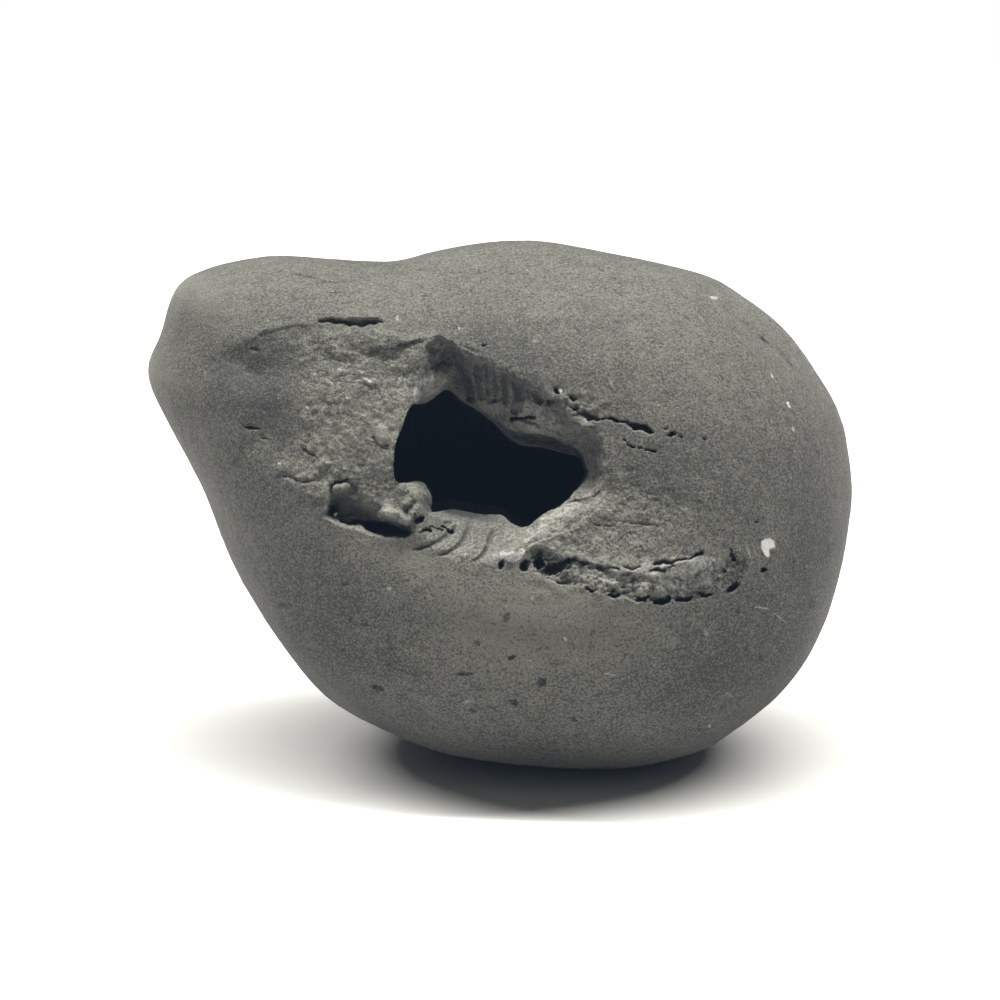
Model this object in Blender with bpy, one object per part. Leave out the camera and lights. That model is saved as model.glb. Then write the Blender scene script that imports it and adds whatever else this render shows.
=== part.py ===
"""Shaligram: a dark river pebble, broken open on its broad face over the hollow of a coiled fossil shell.

The stone formed as one piece, so it is one solid. Its face is described in a face frame that leans back a
little: a runs to the right, b runs up the face, and c runs into the stone. The shape functions work in that
frame in millimetres. The mesh is in metres, +Z up, and its origin is the centre of the flat spot that the
stone rests on. The back of the stone is the plain side of the pebble.
"""

import math

import bmesh
import bpy
import numpy as np
from mathutils import Vector, noise

MM = 0.001

# Driving dimensions, in millimetres and degrees.
LEAN = 12.0  # how far the broad face leans back from the vertical
BODY_CENTRE = (4.8, 0.3)  # the middle of the round body, in the face frame
SPOT_CENTRE = 8.0  # the flat spot's place along the stone, from the face frame's origin
SPOT_FORWARD = 0.8  # and its place in front of the face frame's origin
CENTRE_HEIGHT = 27.2  # of the face frame's origin above the flat spot
HALF_DEPTH = 24.5  # from the outline's plane to the front and to the back
EYE_DISTANCE = 250.0  # the broken ground is laid out on the outline's plane, as seen from this far in front
EYE_HEIGHT = 0.64
FULLNESS = 2.15  # 2 makes the sections ellipses, and more makes them boxier
LUMP_SIZE = 19.0
LUMP_HEIGHT = 0.75
EVENING = 70  # the degrees over which the outline's bends are evened out, away from the outline itself
SPHERE_LEVEL = 6  # the starting sphere has 20 x 4^5 faces at level 6
FINE_CUTS = 3  # of each edge of the sphere on the broken ground
MOST_TRIANGLES = 9600
STONE_COLOUR = (0.105, 0.104, 0.094, 1.0)

# The pebble square on to its broad face, anticlockwise from the right: the beak points left.
OUTLINE = [
    (37.4, -0.4), (37.1, 6.0), (36.0, 10.3), (33.5, 14.6), (30.3, 18.9), (26.3, 22.1), (22.7, 24.3),
    (18.2, 25.6), (11.8, 26.9), (5.4, 28.1), (1.1, 28.3), (-3.2, 27.9), (-7.5, 27.0), (-11.2, 26.1),
    (-16.1, 26.2), (-22.5, 26.7), (-26.8, 26.4), (-31.1, 25.4), (-34.5, 23.4), (-36.2, 18.5),
    (-37.6, 14.0), (-35.0, 8.1), (-31.6, 1.7), (-28.1, -6.9), (-22.8, -15.4), (-17.7, -21.0),
    (-9.3, -25.2), (-4.3, -26.7), (4.3, -27.8), (12.9, -28.0), (19.0, -26.8), (23.4, -25.0),
    (30.7, -19.1), (35.1, -11.1),
]  # fmt: skip

# The hole in the face, and the broken rim round it, from which the ground falls in towards the hole.
MOUTH = [
    (9.3, 4.1), (8.7, 5.7), (7.5, 6.5), (4.9, 7.6), (1.7, 8.0), (-0.2, 9.2), (-2.1, 10.3), (-4.0, 11.4),
    (-5.8, 12.6), (-7.9, 11.0), (-9.5, 10.8), (-10.5, 8.4), (-11.4, 5.5), (-11.1, 2.7), (-9.1, 2.8),
    (-8.1, 2.4), (-7.3, 0.9), (-7.3, -0.5), (-5.3, 0.3), (-1.8, -0.9), (0.2, -1.0), (1.4, -1.9),
    (2.9, -2.2), (4.9, -0.7), (7.0, 0.5), (9.2, 3.1),
]  # fmt: skip
RIM = [
    (11.3, 7.0), (9.6, 9.0), (7.8, 10.4), (5.0, 12.6), (2.6, 13.9), (0.9, 15.0), (-1.0, 15.9), (-3.6, 17.0),
    (-5.0, 18.0), (-6.7, 18.8), (-8.4, 17.4), (-9.2, 14.0), (-9.7, 10.8), (-10.9, 8.4), (-11.8, 5.5),
    (-11.5, 2.4), (-9.6, 2.0), (-9.4, -2.6), (-6.4, -5.4), (-2.0, -6.4), (0.8, -6.0), (2.2, -5.0),
    (4.3, -3.7), (7.1, -2.5), (8.8, -1.4), (10.4, -0.3), (11.6, 1.0), (12.2, 3.3), (11.4, 4.6),
]  # fmt: skip
TOP_WALL_DEPTH = 5.8
LIP_DEPTH = 3.4
SHELF_DEPTH = 1.7  # at the hole's edge on its lower right, where the ground tilts up to the light
VALLEY = ((-6.7, 18.6), (-4.1, 11.6))  # the crease in the wall above the hole
VALLEY_DEPTH = 1.5
RIM_LEDGE = 0.3  # the fall begins this far inside the rim
DIP_DEPTH = 1.8  # the skin round the hole dips softly towards it
DIP_REACH = 14.0

# The hollow behind the hole: at each depth c, how far the hole's outline is spread from the hollow's middle.
HOLLOW_MIDDLE = (-1.0, 4.4)
HOLLOW_RINGS = [
    (-32.0, 1.0), (-17.5, 1.0), (-15.0, 1.2), (-11.0, 1.5), (-6.0, 1.62), (-1.0, 1.55), (3.0, 1.3),
    (6.5, 0.85), (8.5, 0.35),
]  # fmt: skip
RING_POINTS = 72

# The rough ground to the left of the hole, where the skin has spalled away.
RECESS = [
    (-29.6, 12.0), (-30.6, 16.7), (-27.5, 18.0), (-25.2, 19.0), (-22.5, 19.5), (-19.8, 19.8), (-13.1, 19.6),
    (-10.3, 18.5), (-6.7, 17.5), (-3.0, 11.0), (-3.0, 3.0), (-7.0, -2.4), (-12.3, -3.2), (-16.1, -2.3),
    (-18.8, -1.2), (-23.5, 1.2), (-28.6, 5.4),
]  # fmt: skip
RECESS_DEPTH = 1.5
RECESS_BOWL = 5.0  # it deepens over this width
MATRIX = [
    (-22.0, 17.8), (-21.5, 13.6), (-22.0, 10.6), (-20.8, 8.6), (-22.6, 6.2), (-24.4, 4.4), (-23.2, 2.2),
    (-20.2, 0.4), (-17.6, 0.6), (-9.0, -2.4), (-3.0, 3.0), (-3.0, 12.0), (-6.7, 18.6), (-10.5, 18.2),
    (-13.1, 19.0), (-19.0, 18.8),
]  # fmt: skip
MATRIX_HEIGHT = 0.3  # the bare matrix stands a little higher in the bowl

# The pit at the lower left: a shaded bowl, with a deep crevice along its lower rim.
PIT = [
    (-19.6, -0.8), (-19.0, 0.6), (-18.3, 2.4), (-16.8, 3.4), (-15.2, 2.9), (-14.5, 1.2), (-12.9, 0.4),
    (-12.8, -1.0), (-13.4, -2.2), (-16.5, -1.7), (-18.6, -1.2),
]  # fmt: skip
PIT_DEPTH = 1.9
PIT_EDGE = 1.3
CREVICE = [(-18.9, -0.9), (-16.4, -1.8), (-13.6, -2.4), (-12.0, -2.7), (-10.3, -2.9)]
CREVICE_HALF_WIDTH = 1.05
CREVICE_DEPTH = 3.6

# The ground to the right of the hole: a shallow plate, and the frilled band below it.
PLATE = [
    (3.2, -2.5), (5.3, -0.5), (7.0, 0.6), (9.0, 3.0), (11.2, 4.2), (15.0, 4.0), (20.4, 1.9), (24.6, -1.4),
    (26.3, -4.2), (25.5, -6.0), (21.4, -6.6), (15.0, -7.4), (8.0, -6.4), (4.6, -5.2),
]  # fmt: skip
PLATE_DEPTH = 0.4
BAND = [(4.6, -6.0), (8.6, -7.4), (13.0, -8.6), (17.4, -9.0), (21.6, -8.5), (25.2, -6.8)]
BAND_HALF_WIDTH = 1.5
BAND_DEPTH = 0.45
FRILLS = [(9.8, -9.2), (12.4, -9.9), (15.2, -10.2), (17.3, -10.4), (19.7, -10.3), (22.1, -9.7), (25.0, -8.8)]
FRILL_RADIUS = 0.9
FRILL_DEPTH = 0.9

# Holes and clefts: centre, half length, half width, depth, and the turn of the long side in degrees.
CLEFTS = [
    (-16.6, 19.8, 3.4, 0.7, 0.9, 0.0),  # the cleft over the upper rim
    (-8.8, -1.4, 0.7, 0.7, 1.6, -60.0),
    (-7.2, -2.5, 1.7, 0.5, 1.0, 0.0),
    (15.2, 8.4, 1.5, 0.6, 1.5, -14.0),  # the crack from the hole's right corner
    (18.3, 7.7, 0.8, 0.5, 1.1, 20.0),
    (11.0, 9.4, 2.4, 0.5, 0.8, -12.0),
    (6.6, 12.0, 1.6, 0.5, 0.9, -30.0),
    (15.0, 6.4, 1.9, 0.45, 0.8, -18.0),
    (2.7, -6.3, 0.8, 0.8, 1.7, 0.0),
    (3.9, -5.6, 1.1, 1.2, 1.7, 0.0),
    (6.2, -6.3, 2.2, 0.9, 1.8, 22.0),
    (12.0, -6.8, 4.0, 0.5, 0.6, -4.0),
    (18.6, -6.0, 3.0, 0.6, 1.1, 14.0),
    (28.3, -6.9, 0.7, 0.5, 0.9, 35.0),
]
# Lumps that stand on the broken ground: centre, half length, half width, height, and the turn in degrees.
KNOBS = [
    (-17.0, 2.0, 1.1, 1.0, 1.2, 0.0),
    (-11.3, -0.9, 1.8, 0.9, 1.9, -22.0),
    (-9.4, -1.4, 0.8, 0.9, 1.1, 20.0),
    (-10.0, 1.5, 1.2, 1.0, 0.9, 0.0),
    (-8.6, 0.6, 1.2, 1.3, 0.9, 0.0),
    (-7.0, 13.4, 2.9, 1.35, 1.8, 38.0),
    (3.0, 8.5, 1.9, 0.6, 0.9, -20.0),
    (5.8, 7.5, 1.6, 0.55, 0.7, -20.0),
    (8.7, 9.2, 1.3, 0.5, 0.6, -12.0),
]

# Ledges: as one goes along the line, the ground on the right-hand side drops by the height (or rises, where
# it is negative) over the width, and comes back over the reach.
LEDGES = [
    ([(-33.0, 13.5), (-31.0, 15.8), (-29.4, 17.2), (-27.5, 18.0), (-25.2, 19.0), (-22.5, 19.5), (-19.8, 19.8),
      (-16.6, 19.5), (-12.0, 19.3)], 0.9, 1.0, 6.0),
    ([(-15.4, 16.7), (-12.9, 17.1), (-11.5, 16.8), (-10.6, 17.4), (-9.2, 17.8), (-7.0, 18.2)], 0.6, 0.8, 3.0),
    ([(1.6, -5.4), (4.3, -3.7), (7.1, -2.5), (8.8, -1.5), (10.4, -0.4), (11.4, 0.5)], -0.35, 0.8, 2.4),
]  # fmt: skip

# The shell's ribs: printed across the wall above the hole, and curved round the lip below it.
WALL_GROOVES = [
    [(-5.0, 17.0), (-4.0, 14.6), (-3.0, 10.6)],
    [(-2.4, 15.4), (-1.9, 13.8), (-1.5, 10.6)],
    [(0.2, 14.8), (0.5, 10.2)],
    [(1.4, 14.0), (2.1, 11.0), (2.1, 9.6)],
    [(3.5, 13.6), (4.3, 10.6)],
]
WALL_GROOVE_HALF_WIDTH = 0.8
WALL_GROOVE_DEPTH = 0.7
LIP_GROOVES = [
    [(-9.6, -4.7), (-7.0, -4.0), (-5.5, -3.1), (-5.0, -2.4)],
    [(-7.0, -5.7), (-5.4, -4.9), (-4.1, -3.6), (-3.2, -1.5)],
    [(-3.4, -6.4), (-1.9, -5.2), (-1.3, -3.6), (-0.9, -2.6)],
]
LIP_GROOVE_HALF_WIDTH = 0.6
LIP_GROOVE_DEPTH = 0.55

# The ground that gets smaller faces.
FINE_GROUND = [
    (-31.0, 17.0), (-24.0, 21.5), (-12.0, 22.0), (-5.0, 21.0), (3.0, 17.0), (10.0, 13.0), (17.0, 11.0),
    (25.0, 7.0), (26.0, 2.0), (31.0, -2.5), (31.0, -8.0), (24.0, -12.0), (10.0, -12.0), (1.0, -9.5),
    (-8.0, -8.0), (-19.0, -5.5), (-28.0, 1.0), (-32.0, 10.0),
]  # fmt: skip


def smooth_step(x, start, end):
    t = np.clip((x - start) / (end - start), 0.0, 1.0)
    return t * t * (3.0 - 2.0 * t)


def closed_curve(points, steps):
    """Points on a smooth closed curve through the given ones (Catmull-Rom)."""
    p1 = np.array(points)
    p0, p2, p3 = np.roll(p1, 1, 0), np.roll(p1, -1, 0), np.roll(p1, -2, 0)
    rows = []
    for t in np.arange(steps) / steps:
        pull = (p2 - p0) * t + (2 * p0 - 5 * p1 + 4 * p2 - p3) * t**2 + (3 * p1 - 3 * p2 + p3 - p0) * t**3
        rows.append(p1 + 0.5 * pull)
    return np.stack(rows, 1).reshape(-1, 2)


def beside(a, b, line):
    """Distance to an open line, positive on its right-hand side, and the way along the line to its nearer end."""
    nearest = np.full(a.shape, np.inf)
    side = np.zeros(a.shape)
    way = np.zeros(a.shape)
    gone = 0.0
    for start, end in zip(line, line[1:]):
        run, rise = end[0] - start[0], end[1] - start[1]
        length = math.hypot(run, rise)
        along = np.clip(((a - start[0]) * run + (b - start[1]) * rise) / length**2, 0.0, 1.0)
        off = np.hypot(a - start[0] - along * run, b - start[1] - along * rise)
        nearer = off < nearest
        nearest = np.where(nearer, off, nearest)
        side = np.where(nearer, np.sign((a - start[0]) * rise - (b - start[1]) * run), side)
        way = np.where(nearer, gone + along * length, way)
        gone += length
    return nearest * side, np.minimum(way, gone - way)


def to_line(a, b, line):
    """Distance to an open line of straight stretches."""
    return np.abs(beside(a, b, line)[0])


def inside_by(a, b, outline):
    """Distance to a closed outline, positive inside it and negative outside."""
    inside = np.zeros(a.shape, bool)
    for start, end in zip(outline, outline[1:] + outline[:1]):
        crosses = (start[1] > b) != (end[1] > b)
        rise = end[1] - start[1] or 1.0
        inside ^= crosses & (a < start[0] + (b - start[1]) * (end[0] - start[0]) / rise)
    nearest = to_line(a, b, outline + outline[:1])
    return np.where(inside, nearest, -nearest)


def lumpiness(points, size, octaves=2, shift=0.0):
    """Smooth noise between about -1 and 1, with lumps of the given size."""
    place = Vector((shift, shift, shift))
    return np.array([noise.fractal(Vector(p) / size + place, 1.0, 2.0, octaves) for p in points])


def laid_out(points):
    """Where points lie on the outline's plane, as seen from the eye."""
    a, b, c = points.T
    nearer = EYE_DISTANCE / (EYE_DISTANCE + c)
    return a * nearer, EYE_HEIGHT + (b - EYE_HEIGHT) * nearer


def sunk(points, depth):
    """Points moved into the stone along their lines of sight."""
    a, b, c = points.T
    far = EYE_DISTANCE + c
    return points + depth[:, None] * np.stack([a / far, (b - EYE_HEIGHT) / far, np.ones(len(a))], 1)


def at_depth(layout, c):
    """Points of the layout, put back at a depth."""
    farther = (EYE_DISTANCE + c) / EYE_DISTANCE
    a, b = layout[:, 0] * farther, EYE_HEIGHT + (layout[:, 1] - EYE_HEIGHT) * farther
    return np.column_stack([a, b, np.full(len(layout), c)])


def outline_reach():
    """The outline's distance from the body's middle at each degree round it, as it is and evened out."""
    curve = closed_curve(OUTLINE, 6) - BODY_CENTRE
    angle = np.degrees(np.arctan2(curve[:, 1], curve[:, 0]))
    order = np.argsort(angle)
    degrees = np.arange(-180, 180)
    reach = np.interp(degrees, angle[order], np.hypot(curve[:, 0], curve[:, 1])[order], period=360)
    window = np.hanning(EVENING)
    evened = np.convolve(np.tile(reach, 3), window / window.sum(), "same")[360:720]
    return degrees, reach, evened


def pebble(directions):
    """The worn pebble's surface, before it broke, in the given directions from its middle."""
    degrees, reach, evened = outline_reach()
    side_on = np.hypot(directions[:, 0], directions[:, 1])
    facing = np.degrees(np.arctan2(directions[:, 1], directions[:, 0]))
    sharp = np.interp(facing, degrees, reach, period=360)
    soft = np.interp(facing, degrees, evened, period=360)
    across = side_on / (soft + (sharp - soft) * side_on**6)
    deep = np.abs(directions[:, 2]) / HALF_DEPTH
    radius = (across**FULLNESS + deep**FULLNESS) ** (-1.0 / FULLNESS)
    worn = lumpiness(directions * radius[:, None], LUMP_SIZE)
    radius += LUMP_HEIGHT * worn * smooth_step(deep * radius, 0.1, 0.6)
    return directions * radius[:, None] + np.array([*BODY_CENTRE, 0.0])


def fall_to_hole(a, b):
    """The ground round the hole falls from the rim: as a steep wall above, and as a rounded lip below."""
    below_rim = np.maximum(inside_by(a, b, RIM), 0.0)
    from_mouth = np.maximum(-inside_by(a, b, MOUTH), 0.0)
    share = below_rim / (below_rim + from_mouth + 1e-6)
    upper = smooth_step(b, -1.0, 8.0)
    shelf = smooth_step(a, 1.5, 4.0) * smooth_step(b - 0.4 * a, 2.5, -1.5)
    lip = LIP_DEPTH + (SHELF_DEPTH - LIP_DEPTH) * shelf
    depth = (lip + (TOP_WALL_DEPTH - lip) * upper) * share ** (1.7 - 0.8 * upper - 0.5 * shelf)
    depth += VALLEY_DEPTH * smooth_step(to_line(a, b, VALLEY), 2.2, 0.0)
    return depth * smooth_step(below_rim, RIM_LEDGE, RIM_LEDGE + 0.8)


def dip(a, b):
    return DIP_DEPTH * smooth_step(inside_by(a, b, MOUTH), -DIP_REACH, 0.0)


def recess(a, b):
    """The shallow bowl to the left of the hole, in which the bare matrix stands a little higher."""
    bowl = RECESS_DEPTH * smooth_step(inside_by(a, b, RECESS), 0.0, RECESS_BOWL)
    matrix = MATRIX_HEIGHT * smooth_step(inside_by(a, b, MATRIX), -0.4, 0.6)
    return (bowl - matrix) * smooth_step(a, -1.0, -9.0)


def pit(a, b):
    bowl = PIT_DEPTH * smooth_step(inside_by(a, b, PIT), -0.2, PIT_EDGE)
    return np.maximum(bowl, CREVICE_DEPTH * smooth_step(to_line(a, b, CREVICE), CREVICE_HALF_WIDTH, 0.2))


def plate(a, b):
    shallow = PLATE_DEPTH * smooth_step(inside_by(a, b, PLATE), -0.5, 3.0) * smooth_step(a, 27.0, 17.0)
    off_band = to_line(a, b, BAND)
    depth = np.maximum(shallow, BAND_DEPTH * smooth_step(off_band, BAND_HALF_WIDTH, BAND_HALF_WIDTH - 0.8))
    for across, up in FRILLS:
        off = np.hypot(a - across, b - up)
        depth = np.maximum(depth, FRILL_DEPTH * smooth_step(off, FRILL_RADIUS, 0.0))
    return depth


def oval(a, b, across, up, half_length, half_width, turn):
    """Distance from an oval's middle, as a share of its reach."""
    cos = math.cos(math.radians(turn))
    sin = math.sin(math.radians(turn))
    along = ((a - across) * cos + (b - up) * sin) / half_length
    aside = ((b - up) * cos - (a - across) * sin) / half_width
    return np.hypot(along, aside)


def clefts(a, b):
    depth = np.zeros(a.shape)
    for across, up, half_length, half_width, deep, turn in CLEFTS:
        off = oval(a, b, across, up, half_length, half_width, turn)
        depth = np.maximum(depth, deep * smooth_step(off, 1.2, 0.3))
    return depth


def knobs(a, b):
    height = np.zeros(a.shape)
    for across, up, half_length, half_width, tall, turn in KNOBS:
        off = oval(a, b, across, up, half_length, half_width, turn)
        height = np.maximum(height, tall * smooth_step(off, 1.1, 0.0))
    return height


def ledges(a, b):
    depth = np.zeros(a.shape)
    for line, drop, width, reach in LEDGES:
        off, way = beside(a, b, line)
        step = smooth_step(off, 0.0, width) * smooth_step(off, reach, width)
        depth += drop * step * smooth_step(way, 0.0, 0.5 + 0.5 * reach)
    return depth


def ribs(a, b):
    """Grooves part the shell's ribs on the wall above the hole, and curve round the lip below it."""
    on_wall = smooth_step(inside_by(a, b, RIM), 0.4, 1.6)
    depth = np.zeros(a.shape)
    for groove in WALL_GROOVES:
        off = to_line(a, b, groove)
        depth += WALL_GROOVE_DEPTH * smooth_step(off, WALL_GROOVE_HALF_WIDTH, 0.0) * on_wall
    for groove in LIP_GROOVES:
        off, way = beside(a, b, groove)
        depth += LIP_GROOVE_DEPTH * smooth_step(np.abs(off), LIP_GROOVE_HALF_WIDTH, 0.0) * smooth_step(way, 0.0, 1.5)
    return depth


def relief(a, b):
    """How far the broken face lies below the pebble's skin."""
    sunk_ground = dip(a, b) + fall_to_hole(a, b) + recess(a, b) + pit(a, b) + plate(a, b) + ledges(a, b)
    return sunk_ground + clefts(a, b) - knobs(a, b) + ribs(a, b)


def to_world(points):
    """From the face frame in millimetres to the world in metres."""
    lean = math.radians(LEAN)
    a, b, c = points.T
    y = b * math.sin(lean) + c * math.cos(lean) + SPOT_FORWARD
    z = b * math.cos(lean) - c * math.sin(lean) + CENTRE_HEIGHT
    return np.stack([a - SPOT_CENTRE, y, z], 1) * MM


def stone_mesh():
    bm = bmesh.new()
    bmesh.ops.create_icosphere(bm, subdivisions=SPHERE_LEVEL, radius=1.0)
    skin = pebble(np.array([v.co.normalized() for v in bm.verts]))
    for vert, point in zip(bm.verts, skin):
        vert.co = point
    fine = (inside_by(*laid_out(skin), FINE_GROUND) > 0.0) & (skin[:, 2] < 0.0)
    edges = [e for e in bm.edges if all(fine[v.index] for v in e.verts)]
    bmesh.ops.subdivide_edges(bm, edges=edges, cuts=FINE_CUTS, use_grid_fill=True)
    bmesh.ops.triangulate(bm, faces=bm.faces[:])
    points = np.array([v.co for v in bm.verts])
    points = sunk(points, relief(*laid_out(points)) * smooth_step(points[:, 2], 0.0, -6.0))
    for vert, point in zip(bm.verts, to_world(points)):
        vert.co = point
    mesh = bpy.data.meshes.new("stone")
    bm.to_mesh(mesh)
    bm.free()
    mesh.shade_smooth()
    return mesh


def add_object(name, mesh):
    thing = bpy.data.objects.new(name, mesh)
    bpy.context.scene.collection.objects.link(thing)
    return thing


def add_cutter(name, mesh, target):
    """Cuts the mesh out of the target with a hidden cutter."""
    cutter = add_object(name, mesh)
    cutter.hide_render = True
    cutter.display_type = "WIRE"
    cut = target.modifiers.new(name, "BOOLEAN")
    cut.operation = "DIFFERENCE"
    cut.solver = "EXACT"
    cut.object = cutter


def hollow_mesh():
    """The hollow of the shell: the hole's outline, spread and then drawn together as it goes into the stone."""
    curve = closed_curve(MOUTH, 6)
    curve = curve[np.linspace(0, len(curve), RING_POINTS, endpoint=False).astype(int)]
    bm = bmesh.new()
    rings = []
    for depth, spread in HOLLOW_RINGS:
        ring = (curve - HOLLOW_MIDDLE) * spread + HOLLOW_MIDDLE
        rings.append([bm.verts.new(point) for point in to_world(at_depth(ring, depth))])
    for outer, inner in zip(rings, rings[1:]):
        for i in range(RING_POINTS):
            bm.faces.new((outer[i - 1], outer[i], inner[i], inner[i - 1]))
    bm.faces.new(rings[0])
    bm.faces.new(rings[-1])
    bmesh.ops.recalc_face_normals(bm, faces=bm.faces[:])
    mesh = bpy.data.meshes.new("hollow")
    bm.to_mesh(mesh)
    bm.free()
    return mesh


def slab_mesh():
    """A thick slab whose top is the surface that the stone rests on."""
    bm = bmesh.new()
    bmesh.ops.create_cube(bm, size=200 * MM)
    bmesh.ops.translate(bm, verts=bm.verts[:], vec=(0.0, 0.0, -100 * MM))
    mesh = bpy.data.meshes.new("slab")
    bm.to_mesh(mesh)
    bm.free()
    return mesh


def stone_material():
    material = bpy.data.materials.new("stone")
    material.use_nodes = True
    shader = material.node_tree.nodes["Principled BSDF"]
    shader.inputs["Base Color"].default_value = STONE_COLOUR
    shader.inputs["Roughness"].default_value = 0.85
    shader.inputs["Metallic"].default_value = 0.0
    return material


def main():
    for thing in list(bpy.data.objects):
        bpy.data.objects.remove(thing, do_unlink=True)
    mesh = stone_mesh()
    stone = add_object("stone", mesh)
    mesh.materials.append(stone_material())
    add_cutter("hollow", hollow_mesh(), stone)
    thin = stone.modifiers.new("fewer_faces", "DECIMATE")
    thin.ratio = MOST_TRIANGLES / len(mesh.polygons)
    thin.use_collapse_triangulate = True
    add_cutter("slab", slab_mesh(), stone)


main()
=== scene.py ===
"""Finish for the shaligram: a dark, water-worn pebble, broken open over the hollow of a coiled shell.

One piece, the stone, is modelled in fine mesh in place of the plain solid. It is shaped in a face frame, in
millimetres, that leans back with the broad face: a runs to the right, b runs up the face, and c runs into
the stone. The pebble comes first, then the broken ground, then the hollow behind the hole, then the grain.
"""

import math

import bmesh
import bpy
import numpy as np
from mathutils import Matrix, Vector, noise
from mathutils.kdtree import KDTree


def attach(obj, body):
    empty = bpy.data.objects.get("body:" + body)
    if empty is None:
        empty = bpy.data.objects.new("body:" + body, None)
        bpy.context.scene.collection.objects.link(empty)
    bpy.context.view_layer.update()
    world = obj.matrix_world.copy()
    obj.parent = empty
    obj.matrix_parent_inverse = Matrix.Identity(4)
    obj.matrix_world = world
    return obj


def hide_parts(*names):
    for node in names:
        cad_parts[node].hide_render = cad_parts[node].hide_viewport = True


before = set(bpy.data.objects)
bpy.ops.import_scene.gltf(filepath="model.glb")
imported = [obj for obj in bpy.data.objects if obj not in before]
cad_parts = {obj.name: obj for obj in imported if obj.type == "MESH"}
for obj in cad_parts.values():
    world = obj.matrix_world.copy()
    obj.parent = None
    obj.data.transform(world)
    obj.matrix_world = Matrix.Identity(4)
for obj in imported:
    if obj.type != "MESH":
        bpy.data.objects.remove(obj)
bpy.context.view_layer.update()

MM = 0.001

# --- The pebble, in millimetres and degrees, as the solid has it ---

LEAN = 12.0  # how far the broad face leans back from the vertical
LEAN_SIN, LEAN_COS = math.sin(math.radians(LEAN)), math.cos(math.radians(LEAN))
BODY_CENTRE = (4.8, 0.3)  # the middle of the round body, in the face frame
SPOT_CENTRE = 8.0  # the flat spot's place along the stone, from the face frame's origin
SPOT_FORWARD = 0.8  # and its place in front of the face frame's origin
CENTRE_HEIGHT = 27.2  # of the face frame's origin above the flat spot
HALF_DEPTH = 24.5  # from the outline's plane to the front and to the back
EYE_DISTANCE = 250.0  # the broken ground is laid out on the outline's plane, as seen from this far in front
EYE_HEIGHT = 0.64  # and from this far up the face
FULLNESS = 2.15  # 2 makes the sections ellipses, and more makes them boxier
LUMP_SIZE = 19.0  # of the broad lumps that the river left
LUMP_HEIGHT = 0.75
LUMP_FADE = (0.1, 0.6)  # the shares of the depth between which the lumps come in, away from the outline
EVENING = 70  # the degrees over which the outline's bends are evened out, away from the outline itself
BEND_FADE = 6  # how quickly the bends get even there

# The pebble square on to its broad face, anticlockwise from the right: the beak points left.
OUTLINE = [
    (37.4, -0.4), (37.1, 6), (36, 10.3), (33.5, 14.6), (30.3, 18.9), (26.3, 22.1), (22.7, 24.3),
    (18.2, 25.6), (11.8, 26.9), (5.4, 28.1), (1.1, 28.3), (-3.2, 27.9), (-7.5, 27), (-11.2, 26.1),
    (-16.1, 26.2), (-22.5, 26.7), (-26.8, 26.4), (-31.1, 25.4), (-34.5, 23.4), (-36.2, 18.5),
    (-37.6, 14), (-35, 8.1), (-31.6, 1.7), (-28.1, -6.9), (-22.8, -15.4), (-17.7, -21),
    (-9.3, -25.2), (-4.3, -26.7), (4.3, -27.8), (12.9, -28), (19, -26.8), (23.4, -25),
    (30.7, -19.1), (35.1, -11.1),
]  # fmt: skip

# --- The hole in the face, and the broken rim round it, from which the ground falls in ---

MOUTH = [
    (9.3, 4.1), (8.7, 5.7), (7.5, 6.5), (4.9, 7.6), (1.7, 8), (-0.2, 9.2), (-2.1, 10.3), (-4, 11.4),
    (-5.8, 12.6), (-7.9, 11), (-9.5, 10.8), (-10.5, 8.4), (-11.4, 5.5), (-11.1, 2.7), (-9.1, 2.8),
    (-8.1, 2.4), (-7.3, 0.9), (-7.3, -0.6), (-5.3, -0.35), (-3.6, -0.6), (-1.8, -0.9), (0.2, -1),
    (1.4, -1.9), (2.9, -2.2), (4.9, -0.7), (7, 0.5), (9.2, 3.1),
]  # fmt: skip
MOUTH_INSIDE = [  # the same hole a little further in, where its upper and lower edges have turned inwards
    (9, 4.1), (8.3, 5.2), (7, 5.6), (4.7, 6.2), (1.5, 6.9), (-0.3, 8.5), (-2.1, 10), (-4, 11.2),
    (-5.8, 12.5), (-7.9, 11), (-9.5, 10.8), (-10.5, 8.4), (-11.4, 5.5), (-11.1, 2.7), (-9.1, 2.8),
    (-8.1, 2.5), (-7.3, 1.4), (-7.2, 0.4), (-5.3, 0.7), (-3.6, 0.4), (-1.8, 0.1), (0.2, -0.1),
    (1.4, -1.1), (2.9, -1.7), (4.9, -0.6), (7, 0.6), (9, 3.1),
]  # fmt: skip
RIM = [
    (11.3, 7), (9.6, 9), (7.8, 10.4), (5, 12.6), (2.6, 13.9), (0.9, 15), (-1, 15.9), (-3.6, 17),
    (-5, 18), (-6.7, 18.8), (-8.4, 17.4), (-9.2, 14), (-9.7, 10.8), (-10.9, 8.4), (-11.8, 5.5),
    (-11.5, 2.4), (-9.6, 2), (-9.4, -2.6), (-6.4, -5.4), (-2, -6.4), (0.8, -6), (2.2, -5),
    (4.3, -3.7), (7.1, -2.5), (8.8, -1.4), (10.4, -0.3), (11.6, 1), (12.2, 3.3), (11.4, 4.6),
]  # fmt: skip
TOP_WALL_DEPTH = 5.8
LIP_DEPTH = 3.4
SHELF_DEPTH = 1.7  # at the hole's edge on its lower right, where the ground tilts up to the light
WALL_HEIGHTS = (-1.0, 8.0)  # the heights between which the lip becomes the steep wall
SHELF_START = (1.5, 4.0)  # the shelf comes in between these places across
SHELF_SLOPE = 0.4  # and below a line of this slope
SHELF_TOP = (2.5, -1.5)  # between these heights of it
LIP_CURVE = 1.7  # 1 falls evenly from the rim to the hole, and more falls late
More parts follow.
